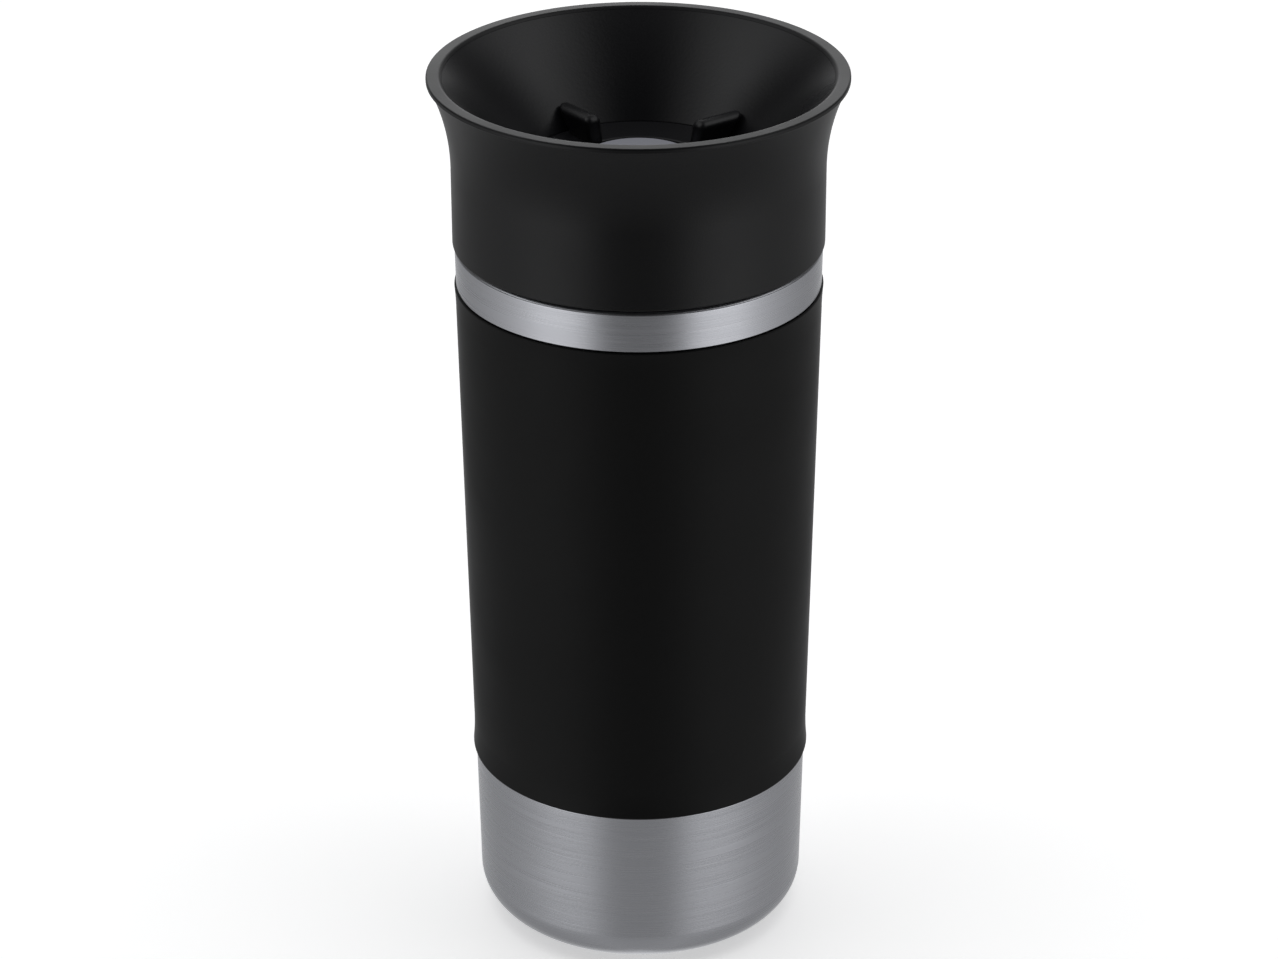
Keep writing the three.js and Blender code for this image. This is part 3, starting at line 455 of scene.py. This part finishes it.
class Layout:
    """Places worked out from the CAD boxes and the sizes."""

    def __init__(self, sizes):
        self.shoulder_z = low("lid_collar") - sizes.seam
        self.shoulder_r = reach("outer_shell")
        self.base_r = self.shoulder_r - sizes.taper
        self.sleeve_low = low("grip_sleeve")
        self.sleeve_high = high("grip_sleeve")
        self.neck_r = reach("inner_shell")
        self.rim_z = high("inner_shell")
        self.mouth_r = self.neck_r - 2 * sizes.steel - sizes.neck_gap
        self.plug_r = self.mouth_r - sizes.thread_depth - sizes.thread_room
        self.thread_foot = self.rim_z - sizes.thread_drop - sizes.thread_lead * THREAD_SWEEP / 360
        self.cap_r = reach("closure_seal_ring") + FIT
        self.floor = high("button_cap") - sizes.button_proud
        self.ledge = low("closure_seal_ring") - FIT
        self.lug_foot = self.ledge - sizes.lug_width - sizes.lug_lead * LUG_SWEEP / 360
        self.tube_r = sizes.throat - sizes.lug_depth - sizes.thread_room
        self.tube_bore = self.tube_r - sizes.cap_wall
        self.stem_hole = sizes.stem + FIT
        self.sizes = sizes

    def steel(self, height):
        return self.base_r + self.sizes.taper * height / self.shoulder_z

    def sleeve(self, height):
        share = (height - self.sleeve_low) / (self.sleeve_high - self.sleeve_low)
        proud = self.sizes.proud_bottom + (self.sizes.proud_top - self.sizes.proud_bottom) * share
        return self.steel(height) + proud

    def groove(self, height):
        return self.sleeve(height) - self.sizes.sleeve_wall - FIT

    def liner(self, height):
        return self.groove(height) - self.sizes.steel - self.sizes.vacuum


# ---- Operators ----

def plan(context):
    """The user's sizes and the layout that follows from them."""
    sizes = context.scene.tumbler_sizes
    return sizes, Layout(sizes)


class TUMBLER_OT_materials(bpy.types.Operator):
    """Make the tumbler's materials"""
    bl_idname = "tumbler.materials"
    bl_label = "Materials"

    def execute(self, context):
        make_materials(context.scene.tumbler_colours)
        return {"FINISHED"}


class TUMBLER_OT_outer_shell(bpy.types.Operator):
    """Build the brushed outer shell"""
    bl_idname = "tumbler.outer_shell"
    bl_label = "Outer shell"

    def execute(self, context):
        sizes, at = plan(context)
        wall = sizes.steel
        stand = low("outer_shell")
        bottom = at.sleeve_low - FIT
        top = at.sleeve_high + FIT
        corner_z = stand + sizes.corner
        corner_r = at.steel(corner_z) - sizes.corner
        neck_top = high("outer_shell")
        edge = 0.2 * MM
        turned_piece("outer_shell_fine", [
            *arc(corner_r, corner_z, sizes.corner, -90, 0, 16),
            (at.steel(bottom), bottom, edge),
            (at.groove(bottom), bottom),
            (at.groove(top), top),
            (at.steel(top), top, edge),
            (at.shoulder_r, at.shoulder_z - 0.6 * MM, 0.6 * MM),
            (at.shoulder_r - 0.6 * MM, at.shoulder_z, 0.4 * MM),
            (at.neck_r, at.shoulder_z, 0.4 * MM),
            (at.neck_r, neck_top),
            (at.neck_r - wall, neck_top),
            (at.neck_r - wall, at.shoulder_z - wall),
            (at.shoulder_r - wall, at.shoulder_z - wall - 0.6 * MM),
            (at.steel(top) - wall, top + wall),
            (at.groove(top) - wall, top + wall),
            (at.groove(bottom) - wall, bottom - wall),
            (at.steel(bottom) - wall, bottom - wall),
            *arc(corner_r, corner_z, sizes.corner - wall, 0, -90, 16),
        ], "brushed_steel_shell", "mug", "outer_shell")
        return {"FINISHED"}


class TUMBLER_OT_liner(bpy.types.Operator):
    """Build the liner with its mouth thread"""
    bl_idname = "tumbler.liner"
    bl_label = "Liner"

    def execute(self, context):
        sizes, at = plan(context)
        wall = sizes.steel
        floor = low("inner_shell")
        corner_z = floor + sizes.corner
        corner_r = at.liner(corner_z) - sizes.corner
        bore = at.mouth_r
        mouth = bore + wall
        bend = at.sleeve_high + 2 * wall
        fold = at.rim_z - 0.8 * MM

        def ridges(shape):
            for start in range(0, 360, 90):
                helical_bar(
                    shape, bore + wall / 2, bore - sizes.thread_depth, sizes.thread_width, at.thread_foot,
                    sizes.thread_lead, start, THREAD_SWEEP)

        turned_piece("liner_fine", [
            (0, floor),
            *arc(corner_r, corner_z, sizes.corner, -90, 0, 12),
            (at.liner(at.sleeve_high), at.sleeve_high, 2 * MM),
            (mouth, bend, 2 * MM),
            (mouth, fold, 0.3 * MM),
            (at.neck_r, fold, 0.3 * MM),
            (at.neck_r, at.rim_z, 0.38 * MM),
            (bore, at.rim_z, 0.38 * MM),
            (bore, bend, 2 * MM),
            (at.liner(at.sleeve_high) - wall, at.sleeve_high, 2 * MM),
            *arc(corner_r, corner_z, sizes.corner - wall, 0, -90, 12),
            (0, floor + wall),
        ], "plain_steel", "mug", "inner_shell", closed=False, extra=ridges)
        return {"FINISHED"}


class TUMBLER_OT_base(bpy.types.Operator):
    """Build the base pan and the soft foot"""
    bl_idname = "tumbler.base"
    bl_label = "Base and foot"

    def execute(self, context):
        sizes = context.scene.tumbler_sizes
        wall = sizes.steel
        pan_r = reach("base_plate")
        stand = low("base_plate")
        foot_top = high("foot_pad")
        under = foot_top + FIT
        dimple = 5 * MM
        port = 1 * MM
        rise = 1.4 * MM
        turned_piece("base_pan_fine", [
            (pan_r, stand, 0.2 * MM),
            (pan_r, under + wall, 0.4 * MM),
            (dimple + wall, under + wall, 0.4 * MM),
            (dimple, under + wall + rise, 0.4 * MM),
            (port, under + wall + rise),
            (port, under + rise),
            (dimple - wall, under + rise, 0.3 * MM),
            (dimple, under, 0.3 * MM),
            (pan_r - wall, under, 0.2 * MM),
            (pan_r - wall, stand, 0.2 * MM),
        ], "plain_steel", "mug", "base_plate")
        foot_r = reach("foot_pad")
        groove = foot_r - 4 * MM
        turned_piece("foot_fine", [
            (0, 0.3 * MM),
            (groove - 1.2 * MM, 0.3 * MM, 0.2 * MM),
            (groove - 0.8 * MM, 0, 0.2 * MM),
            (foot_r - 0.4 * MM, 0, 0.4 * MM),
            (foot_r, 0.4 * MM, 0.3 * MM),
            (foot_r, foot_top, 0.3 * MM),
            (0, foot_top),
        ], "black_silicone", "mug", "foot_pad", closed=False)
        return {"FINISHED"}


class TUMBLER_OT_sleeve(bpy.types.Operator):
    """Build the silicone grip sleeve"""
    bl_idname = "tumbler.sleeve"
    bl_label = "Grip sleeve"

    def execute(self, context):
        sizes, at = plan(context)
        bottom, top = at.sleeve_low, at.sleeve_high
        swell = [(1 - step / 10) ** 2 for step in range(11)]
        lower = [
            (at.sleeve(bottom) + sizes.sleeve_lip * share, bottom + sizes.lip_height * step / 10)
            for step, share in enumerate(swell)]
        upper = [
            (at.sleeve(top) + sizes.sleeve_lip * share, top - sizes.lip_height * step / 10)
            for step, share in enumerate(swell)]
        turned_piece("grip_sleeve_fine", [
            (at.sleeve(bottom) - sizes.sleeve_wall, bottom, 0.2 * MM),
            (*lower[0], 0.35 * MM),
            *lower[1:],
            *reversed(upper[1:]),
            (*upper[0], 0.35 * MM),
            (at.sleeve(top) - sizes.sleeve_wall, top, 0.2 * MM),
        ], "black_silicone", "mug", "grip_sleeve")
        return {"FINISHED"}


class TUMBLER_OT_collar(bpy.types.Operator):
    """Build the lid's collar with its flared lip"""
    bl_idname = "tumbler.collar"
    bl_label = "Lid collar"

    def execute(self, context):
        sizes = context.scene.tumbler_sizes
        edge = low("lid_collar")
        top = high("lid_collar")
        lip_r = reach("lid_collar")
        flare_z = edge + sizes.skirt
        bend = math.degrees(math.asin(sizes.flare_height / sizes.flare))
        flare_r = sizes.flare * (1 - math.cos(math.radians(bend)))
        skirt_r = lip_r - sizes.overhang - flare_r
        centre = skirt_r + sizes.flare
        crease_z = flare_z + sizes.flare_height
        lip_in = lip_r - sizes.lip_width
        lip_under = top - sizes.lip_depth
        inner_flare = sizes.flare + sizes.collar_wall
        inner_bend = math.degrees(math.asin((lip_under - flare_z) / inner_flare))
        turned_piece("lid_collar_fine", [
            (skirt_r, edge, 0.35 * MM),
            *arc(centre, flare_z, sizes.flare, 180, 180 - bend, 24),
            (lip_r - sizes.overhang + 0.1 * MM, crease_z + 0.2 * MM),
            (lip_r, crease_z + 0.45 * MM, 0.25 * MM),
            (lip_r, top, 0.4 * MM),
            (lip_in + 0.6 * MM, top, 0.9 * MM),
            (lip_in, top - 0.55 * MM),
            (lip_in, lip_under, 0.2 * MM),
            *arc(centre, flare_z, inner_flare, 180 - inner_bend, 180, 12),
            (skirt_r - sizes.collar_wall, edge, 0.35 * MM),
        ], "black_plastic", "lid", "lid_collar")
        return {"FINISHED"}


class TUMBLER_OT_funnel(bpy.types.Operator):
    """Build the funnel, the threaded plug and the lid's seal"""
    bl_idname = "tumbler.funnel"
    bl_label = "Funnel and plug"

    def execute(self, context):
        sizes, at = plan(context)
        wall = sizes.funnel_wall
        rim_r = reach("lid_collar") - sizes.lip_width - 0.04 * MM
        rim_z = high("lid_collar") - 0.6 * MM
        foot_r = at.cap_r + FIT
        floor = at.floor
        ledge = at.ledge
        throat = sizes.throat
        slope = (rim_z - floor) / (rim_r - foot_r)
        shift = wall * math.hypot(1, slope)
        throat_low = low("lid_funnel")
        seat_r = foot_r + 1.4 * MM

        def face(start, end, drop):
            radii = [start + (end - start) * step / 12 for step in range(13)]
            shares = [(radius - foot_r) / (rim_r - foot_r) for radius in radii]
            rises = [
                slope * (radius - foot_r) + 4 * sizes.funnel_bow * share * (1 - share)
                for radius, share in zip(radii, shares)]
            return [(radius, floor + rise - drop) for radius, rise in zip(radii, rises)]

        def lugs(shape):
            for start in range(0, 360, 120):
                helical_bar(
                    shape, throat + wall / 2, throat - sizes.lug_depth, sizes.lug_width, at.lug_foot,
                    sizes.lug_lead, start, LUG_SWEEP)

        turned_piece("lid_funnel_fine", [
            (throat, throat_low, 0.3 * MM),
            (throat + wall, throat_low, 0.3 * MM),
            (throat + wall, ledge - wall, 0.8 * MM),
            (seat_r, ledge - wall, 0.8 * MM),
            *face(seat_r, rim_r - 1.2 * MM, shift),
            (rim_r, rim_z - 1 * MM),
            (rim_r, rim_z),
            *face(rim_r, foot_r, 0)[1:-1],
            (foot_r, floor, 0.8 * MM),
            (foot_r, ledge, 0.2 * MM),
            (throat, ledge, 0.3 * MM),
        ], "funnel_plastic", "lid", "lid_funnel", extra=lugs, rounding=8)

        flange_z = high("lid_seal_ring") + FIT
        plug_low, plug_high = low("lid_plug"), high("lid_plug")
        plug_r = at.plug_r
        plug_wall = 2 * MM
        bore = plug_r - plug_wall
        thread_foot = at.thread_foot - sizes.thread_width
        first = 45 - sizes.thread_width / sizes.thread_lead * 360

        def ridges(shape):
            for quarter in range(4):
                helical_bar(
                    shape, plug_r - plug_wall / 2, plug_r + sizes.thread_depth, sizes.thread_width,
                    thread_foot, sizes.thread_lead, first + 90 * quarter, THREAD_SWEEP)

        turned_piece("lid_plug_fine", [
            (throat + FIT, plug_low, 0.5 * MM),
            (plug_r, plug_low, 1.2 * MM),
            (plug_r, flange_z, 0.4 * MM),
            (reach("lid_plug"), flange_z, 0.3 * MM),
            (reach("lid_plug"), plug_high, 0.3 * MM),
            (bore, plug_high, 0.3 * MM),
            (bore, plug_low + plug_wall, 0.8 * MM),
            (throat + FIT, plug_low + plug_wall, 0.5 * MM),
        ], "black_plastic", "lid", "lid_plug", extra=ridges)
        turned_piece("lid_seal_fine", plain_ring(
            plug_r + FIT, reach("lid_seal_ring"), low("lid_seal_ring"), high("lid_seal_ring"), 0.7 * MM,
        ), "clear_silicone", "lid_seal", "lid_seal_ring")
        return {"FINISHED"}


class TUMBLER_OT_closure(bpy.types.Operator):
    """Build the closure cap with its grip fins, the cage and the closure's seal"""
    bl_idname = "tumbler.closure"
    bl_label = "Closure"

    def fin(self, shape, sizes, cap_r, floor, angle):
        """One fin: its side outline, thickened across, with every edge that shows rounded over."""
        inner, outer = 14.5 * MM, cap_r + 3.9 * MM
        top = floor + sizes.fin_height
        root = floor - 1 * MM
        outline = [
            (inner - 0.3 * MM, root),
            (inner + 1 * MM, top),
            (outer, top - 0.1 * MM),
            (cap_r - 1.35 * MM, root)]
        turn = Matrix.Rotation(math.radians(angle), 3, "Z")
        half = sizes.fin_thickness / 2
        near = [shape.verts.new(turn @ Vector((radius, -half, height))) for radius, height in outline]
        face = shape.faces.new(near)
        made = bmesh.ops.extrude_face_region(shape, geom=[face])["geom"]
        far = [part for part in made if isinstance(part, bmesh.types.BMVert)]
        bmesh.ops.translate(shape, verts=far, vec=turn @ Vector((0, 2 * half, 0)))
        shown = [
            edge for edge in {edge for vert in near + far for edge in vert.link_edges}
            if max(vert.co.z for vert in edge.verts) > floor]
        shown.sort(key=lambda edge: tuple(edge.verts[0].co) + tuple(edge.verts[1].co))
        bmesh.ops.bevel(
            shape, geom=shown, affect="EDGES", offset=half * 0.8, offset_type="OFFSET", segments=6,
            profile=0.5, material=-1, clamp_overlap=True)

    def execute(self, context):
        sizes, at = plan(context)
        cap_r = at.cap_r
        floor = at.floor
        under = floor - sizes.cap_thickness
        tube, bore = at.tube_r, at.tube_bore
        bottom = low("closure_cap")
        hole = reach("button_cap") + sizes.slot

        def details(shape):
            for quarter in range(4):
                self.fin(shape, sizes, cap_r, floor, 37 + 90 * quarter)
            for third in range(3):
                helical_bar(
                    shape, tube - sizes.cap_wall / 2, tube + sizes.lug_depth, sizes.lug_width,
                    at.lug_foot - sizes.lug_width, sizes.lug_lead, LUG_SWEEP + 120 * third, LUG_SWEEP)

        turned_piece("closure_cap_fine", [
            (hole, floor, 0.5 * MM),
            (cap_r + 0.15 * MM, floor, 0.15 * MM),
            (cap_r + 0.15 * MM, under, 0.3 * MM),
            (tube, under, 0.4 * MM),
            (tube, bottom, 0.4 * MM),
            (bore, bottom, 0.4 * MM),
            (bore, under - sizes.cap_wall, 0.6 * MM),
            (hole, under, 0.5 * MM),
        ], "funnel_plastic", "closure", "closure_cap", extra=details)

        seat_low = low("closure_cage")
        liner_r = bore - 2 * FIT
        seat_bore = liner_r - sizes.cap_wall
        seat_top = seat_low + 2 * MM
        cage_r = reach("closure_cage")
        guide_r, guide_bore = sizes.guide, sizes.guide - sizes.guide_wall
        guide_floor = seat_low + sizes.guide_wall
        guide_top = high("closure_cage")
        spoke_top = floor - 12.6 * MM
        spoke_low = spoke_top - 9 * MM
        stem_hole = at.stem_hole

        def guide(shape):
            spin_outline(shape, soften([
                (stem_hole, seat_low, 0.2 * MM),
                (guide_r, seat_low, 0.6 * MM),
                (guide_r, guide_top, 0.4 * MM),
                (guide_bore, guide_top, 0.4 * MM),
                (guide_bore, guide_floor, 0.4 * MM),
                (stem_hole, guide_floor, 0.2 * MM),
            ], True), True, sizes.spin_steps)
            for quarter in range(4):
                inner, outer = guide_r - sizes.guide_wall / 2, seat_bore + sizes.cap_wall / 2
                self.spoke(shape, inner, outer, spoke_low, spoke_top, quarter)

        turned_piece("closure_cage_fine", [
            (seat_bore, seat_low, 0.4 * MM),
            (cage_r, seat_low, 0.5 * MM),
            (cage_r, seat_top, 0.4 * MM),
            (liner_r, seat_top, 0.2 * MM),
            (liner_r, spoke_top, 0.4 * MM),
            (seat_bore, spoke_top, 0.4 * MM),
        ], "black_plastic", "closure", "closure_cage", extra=guide)
        ring_low = low("closure_seal_ring")
        turned_piece("closure_seal_fine", plain_ring(
            tube + 2 * FIT, reach("closure_seal_ring"), ring_low, high("closure_seal_ring"), 0.4 * MM,
        ), "clear_silicone", "closure_seal", "closure_seal_ring")
        return {"FINISHED"}

    def spoke(self, shape, inner, outer, bottom, top, quarter):
        made = bmesh.ops.create_cube(shape, size=1)
        middle = Vector(((inner + outer) / 2, 0, (bottom + top) / 2))
        bmesh.ops.scale(shape, verts=made["verts"], vec=(outer - inner, 1.6 * MM, top - bottom))
        bmesh.ops.translate(shape, verts=made["verts"], vec=middle)
        bmesh.ops.rotate(
            shape, verts=made["verts"], cent=(0, 0, 0), matrix=Matrix.Rotation(quarter * math.pi / 2, 3, "Z"))


class TUMBLER_OT_button(bpy.types.Operator):
    """Build the push button and its wiper seal"""
    bl_idname = "tumbler.button"
    bl_label = "Button"

    def execute(self, context):
        sizes = context.scene.tumbler_sizes
        radius = reach("button_cap")
        bottom, top = low("button_cap"), high("button_cap")
        crown = 0.25 * MM
        under = top - 2 * MM
        wall = 1.4 * MM
        boss, boss_bore, boss_low = 4.7 * MM, 3.1 * MM, under - 4.4 * MM
        turned_piece("button_fine", [
            (0, top),
            (radius * 0.5, top - crown / 4, 6 * MM),
            (radius, top - crown, 0.7 * MM),
            (radius, bottom, 0.3 * MM),
            (radius - wall, bottom, 0.3 * MM),
            (radius - wall, under, 0.8 * MM),
            (boss, under, 0.6 * MM),
            (boss, boss_low, 0.3 * MM),
            (boss_bore, boss_low, 0.3 * MM),
            (boss_bore, under),
            (0, under),
        ], "grey_plastic", "button", "button_cap", closed=False)
        turned_piece("button_seal_fine", plain_ring(
            sizes.guide + FIT, reach("button_seal"), low("button_seal"), high("button_seal"), 0.5 * MM,
        ), "clear_silicone", "button", "button_seal")
        return {"FINISHED"}


class TUMBLER_OT_valve(bpy.types.Operator):
    """Build the valve disc, its seal and the stem"""
    bl_idname = "tumbler.valve"
    bl_label = "Valve"

    def execute(self, context):
        sizes, at = plan(context)
        radius = reach("valve_disc")
        top, hub_low = high("valve_disc"), low("valve_disc")
        disc_low = top - 1.5 * MM
        bore, hub = at.stem_hole, 4.6 * MM
        turned_piece("valve_disc_fine", [
            (bore, hub_low, 0.2 * MM),
            (hub, hub_low, 0.4 * MM),
            (hub + 1.1 * MM, disc_low, 1 * MM),
            (radius, disc_low, 0.7 * MM),
            (radius, top, 0.3 * MM),
            (bore, top, 0.2 * MM),
        ], "black_plastic", "button", "valve_disc")
        seal_r = reach("valve_seal")
        turned_piece("valve_seal_fine", plain_ring(
            seal_r - 2.6 * MM, seal_r, low("valve_seal"), high("valve_seal"), 0.55 * MM,
        ), "clear_silicone", "button", "valve_seal")
        stem, neck = sizes.stem, 1.5 * MM
        collar_top = low("latch_rotor") - FIT
        collar_low = collar_top - 1.4 * MM
        clip_top, clip_low = high("valve_clip"), low("valve_clip")
        turned_piece("valve_stem_fine", [
            (0, low("valve_stem")),
            (stem, low("valve_stem"), 0.5 * MM),
            (stem, clip_low - FIT / 2),
            (neck, clip_low - FIT / 2),
            (neck, clip_top + FIT / 2),
            (stem, clip_top + FIT / 2),
            (stem, collar_low, 0.2 * MM),
            (reach("valve_stem"), collar_low, 0.3 * MM),
            (reach("valve_stem"), collar_top, 0.3 * MM),
            (stem, collar_top, 0.2 * MM),
            (stem, high("valve_stem"), 0.4 * MM),
            (0, high("valve_stem")),
        ], "plain_steel", "button", "valve_stem", closed=False)
        return {"FINISHED"}


class TUMBLER_OT_spring(bpy.types.Operator):
    """Wind the return spring at the length of its CAD part"""
    bl_idname = "tumbler.spring"
    bl_label = "Return spring"

    def execute(self, context):
        sizes = context.scene.tumbler_sizes
        wire = sizes.wire
        coil = reach("return_spring") - wire
        foot, top = low("return_spring"), high("return_spring")
        lead = (top - foot - 2 * wire) / SPRING_TURNS
        circle = [math.radians(30 * step) for step in range(12)]
        section = [(coil + wire * math.cos(t), foot + wire + wire * math.sin(t)) for t in circle]
        shape = bmesh.new()
        screw(shape, section, lead, 0, 360 * SPRING_TURNS, 40 * SPRING_TURNS)
        piece = finish_piece("return_spring_fine", shape, "plain_steel", "closure", "return_spring")
        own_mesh(piece)
        return {"FINISHED"}


class TUMBLER_OT_inner_parts(bpy.types.Operator):
    """Dress the CAD parts that keep their own shape"""
    bl_idname = "tumbler.inner_parts"
    bl_label = "Inner parts"

    def execute(self, context):
        dress = {entry["node"]: entry["material_slot"] for entry in frame["record"]["subparts"]}
        for name, node in frame["nodes"].items():
            material = MATERIALS[dress[name]]
            if not node.material_slots:
                node.data.materials.append(material)
            for held in node.material_slots:
                held.material = material
        return {"FINISHED"}


class TUMBLER_OT_stage(bpy.types.Operator):
    """Lay the floor, set the studio light and place the camera"""
    bl_idname = "tumbler.stage"
    bl_label = "Floor, light and camera"

    def floor(self, colour):
        shape = bmesh.new()
        bmesh.ops.create_circle(shape, cap_ends=True, radius=6, segments=96)
        mesh = bpy.data.meshes.new("studio_floor")
        shape.to_mesh(mesh)
        shape.free()
        piece = bpy.data.objects.new("studio_floor", mesh)
        bpy.context.scene.collection.objects.link(piece)
        piece.location.z = -0.05 * MM
        piece.visible_glossy = False
        made, tree = start_material("pale_floor")
        shader = add(tree, "ShaderNodeBsdfPrincipled", {
            "Base Color": opaque(colour), "Roughness": 0.9, "Specular IOR Level": 0.1,
            "Emission Color": (1, 1, 1, 1), "Emission Strength": 0.45})
        close_material(tree, shader)
        mesh.materials.append(made)

    def bands(self, tree, share, levels):
        """Brightness round the studio: pairs of a share of the half turn from the front, and a level."""
        ramp = add(tree, "ShaderNodeFloatCurve", {"Factor": 1.0, "Value": share})
        curve = ramp.mapping.curves[0]
        for place, level in levels[1:-1]:
            curve.points.new(place, level / 2)
        for point, (place, level) in zip(curve.points, levels):
            point.location = (place, level / 2)
            point.handle_type = "AUTO_CLAMPED"
        ramp.mapping.update()
        doubled = add(tree, "ShaderNodeMath", {0: ramp.outputs["Value"], 1: 2.0}, operation="MULTIPLY")
        return doubled.outputs[0]

    def blend(self, tree, share, first, second):
        """Mixes two brightnesses by a share."""
        return add(tree, "ShaderNodeMix", {0: share, 2: first, 3: second}, clamp_factor=True).outputs[0]

    def smooth_step(self, tree, value, start, end, first=0.0, last=1.0):
        """Goes gently from first to last while value goes from start to end."""
        return add(tree, "ShaderNodeMapRange", {
            "Value": value, "From Min": start, "From Max": end, "To Min": first, "To Max": last},
            interpolation_type="SMOOTHSTEP").outputs["Result"]

    def surround(self, scene):
        """A white studio lit by a soft box on each side: dim where the camera stands, brighter behind, softer
        towards the table and darker overhead on the camera's side."""
        world = bpy.data.worlds.new("studio")
        scene.world = world
        world.use_nodes = True
        tree = world.node_tree
        tree.nodes.clear()
        way = add(tree, "ShaderNodeTexCoord").outputs["Generated"]
        parts = add(tree, "ShaderNodeSeparateXYZ", {0: way})
        front = add(tree, "ShaderNodeMath", {0: parts.outputs["Y"], 1: -1.0}, operation="MULTIPLY")
        side = add(tree, "ShaderNodeMath", {0: parts.outputs["X"]}, operation="ABSOLUTE")
        turn = add(tree, "ShaderNodeMath", {0: side.outputs[0], 1: front.outputs[0]}, operation="ARCTAN2")
        share = add(tree, "ShaderNodeMath", {0: turn.outputs[0], 1: math.pi}, operation="DIVIDE").outputs[0]
        level = self.bands(tree, share, [
            (0, 0.11), (0.08, 0.12), (0.14, 0.32), (0.2, 1.1), (0.26, 1.3), (0.34, 1.28), (0.42, 0.85),
            (0.56, 0.5), (0.74, 0.34), (0.88, 0.5), (0.94, 0.9), (1, 2)])
        table = self.bands(tree, share, [
            (0, 0.38), (0.1, 0.38), (0.17, 0.42), (0.24, 0.42), (0.34, 0.4), (0.45, 0.38), (0.58, 0.36),
            (0.74, 0.4), (0.88, 0.52), (1, 1)])
        spread = self.smooth_step(tree, side.outputs[0], 0.2, 0.5)
        behind = self.smooth_step(tree, parts.outputs["Y"], -0.6, 0.1)
        beyond = self.smooth_step(tree, parts.outputs["Y"], 0.05, 0.5)
        gap = self.blend(tree, behind, 0.01, 0.22)
        near = self.smooth_step(tree, parts.outputs["Y"], -0.6, 0.05, 0.2, 1.15)
        boxes = self.blend(tree, beyond, near, 0.55)
        ceiling = self.blend(tree, spread, gap, boxes)
        above = self.bands(tree, share, [(0, 0.03), (0.5, 0.05), (0.78, 0.08), (0.9, 0.7), (1, 1.6)])
        rise = self.smooth_step(tree, parts.outputs["Z"], 0.0, 0.2)
        down = self.smooth_step(tree, parts.outputs["Z"], -0.42, -0.54)
        lift = self.smooth_step(tree, parts.outputs["Z"], 0.4, 0.62)
        lower = self.blend(tree, down, level, table)
        middle = self.blend(tree, rise, lower, above)
        glow = self.blend(tree, lift, middle, ceiling)
        seen = add(tree, "ShaderNodeLightPath").outputs["Is Camera Ray"]
        shown = self.blend(tree, seen, glow, 1.0)
        back = add(tree, "ShaderNodeBackground", {"Color": (0.985, 0.99, 1.0, 1), "Strength": shown})
        add(tree, "ShaderNodeOutputWorld", {"Surface": back.outputs["Background"]})

    def lamp(self, name, size, power, place):
        data = bpy.data.lights.new(name, "AREA")
        data.shape = "SQUARE"
        data.size = size
        data.energy = power
        lamp = bpy.data.objects.new(name, data)
        lamp.location = place
        lamp.rotation_euler = (Vector((0, 0, 0.1)) - Vector(place)).to_track_quat("-Z", "Y").to_euler()
        lamp.visible_glossy = False
        bpy.context.scene.collection.objects.link(lamp)

    def camera(self, scene):
        data = bpy.data.cameras.new("camera")
        data.lens = LENS
        data.sensor_width = 36
        data.clip_start = 0.01
        data.clip_end = 50
        camera = bpy.data.objects.new("camera", data)
        tilt = Matrix.Rotation(EYE_TILT, 4, "X")
        roll = Matrix.Rotation(EYE_ROLL, 4, "Z")
        camera.matrix_world = Matrix.Translation(EYE) @ tilt @ roll
        scene.collection.objects.link(camera)
        scene.camera = camera

    def execute(self, context):
        scene = context.scene
        self.camera(scene)
        self.floor(tuple(scene.tumbler_colours.floor))
        self.surround(scene)
        self.lamp("overhead_fill", 2.4, 25, (0.0, 0.4, 2.6))
        scene.view_settings.view_transform = "Standard"
        scene.view_settings.look = "None"
        return {"FINISHED"}


class TUMBLER_PT_panel(bpy.types.Panel):
    """The tumbler's pieces, sizes and colours"""
    bl_idname = "TUMBLER_PT_panel"
    bl_label = "Tumbler"
    bl_space_type = "VIEW_3D"
    bl_region_type = "UI"
    bl_category = "Tumbler"

    def draw(self, context):
        for step in STEPS:
            self.layout.operator(step.bl_idname)
        for group in (context.scene.tumbler_sizes, context.scene.tumbler_colours):
            for name in group.__annotations__:
                self.layout.prop(group, name)


STEPS = (
    TUMBLER_OT_stage,
    TUMBLER_OT_materials,
    TUMBLER_OT_inner_parts,
    TUMBLER_OT_outer_shell,
    TUMBLER_OT_liner,
    TUMBLER_OT_base,
    TUMBLER_OT_sleeve,
    TUMBLER_OT_collar,
    TUMBLER_OT_funnel,
    TUMBLER_OT_closure,
    TUMBLER_OT_button,
    TUMBLER_OT_valve,
    TUMBLER_OT_spring,
)
CLASSES = (TumblerSizes, TumblerColours, *STEPS, TUMBLER_PT_panel)


def register():
    for entry in CLASSES:
        bpy.utils.register_class(entry)
    bpy.types.Scene.tumbler_sizes = PointerProperty(type=TumblerSizes)
    bpy.types.Scene.tumbler_colours = PointerProperty(type=TumblerColours)


def unregister():
    del bpy.types.Scene.tumbler_colours
    del bpy.types.Scene.tumbler_sizes
    for entry in reversed(CLASSES):
        bpy.utils.unregister_class(entry)


def main():
    register()
    for step in STEPS:
        family, name = step.bl_idname.split(".")
        getattr(getattr(bpy.ops, family), name)()


if __name__ == "__main__":
    main()
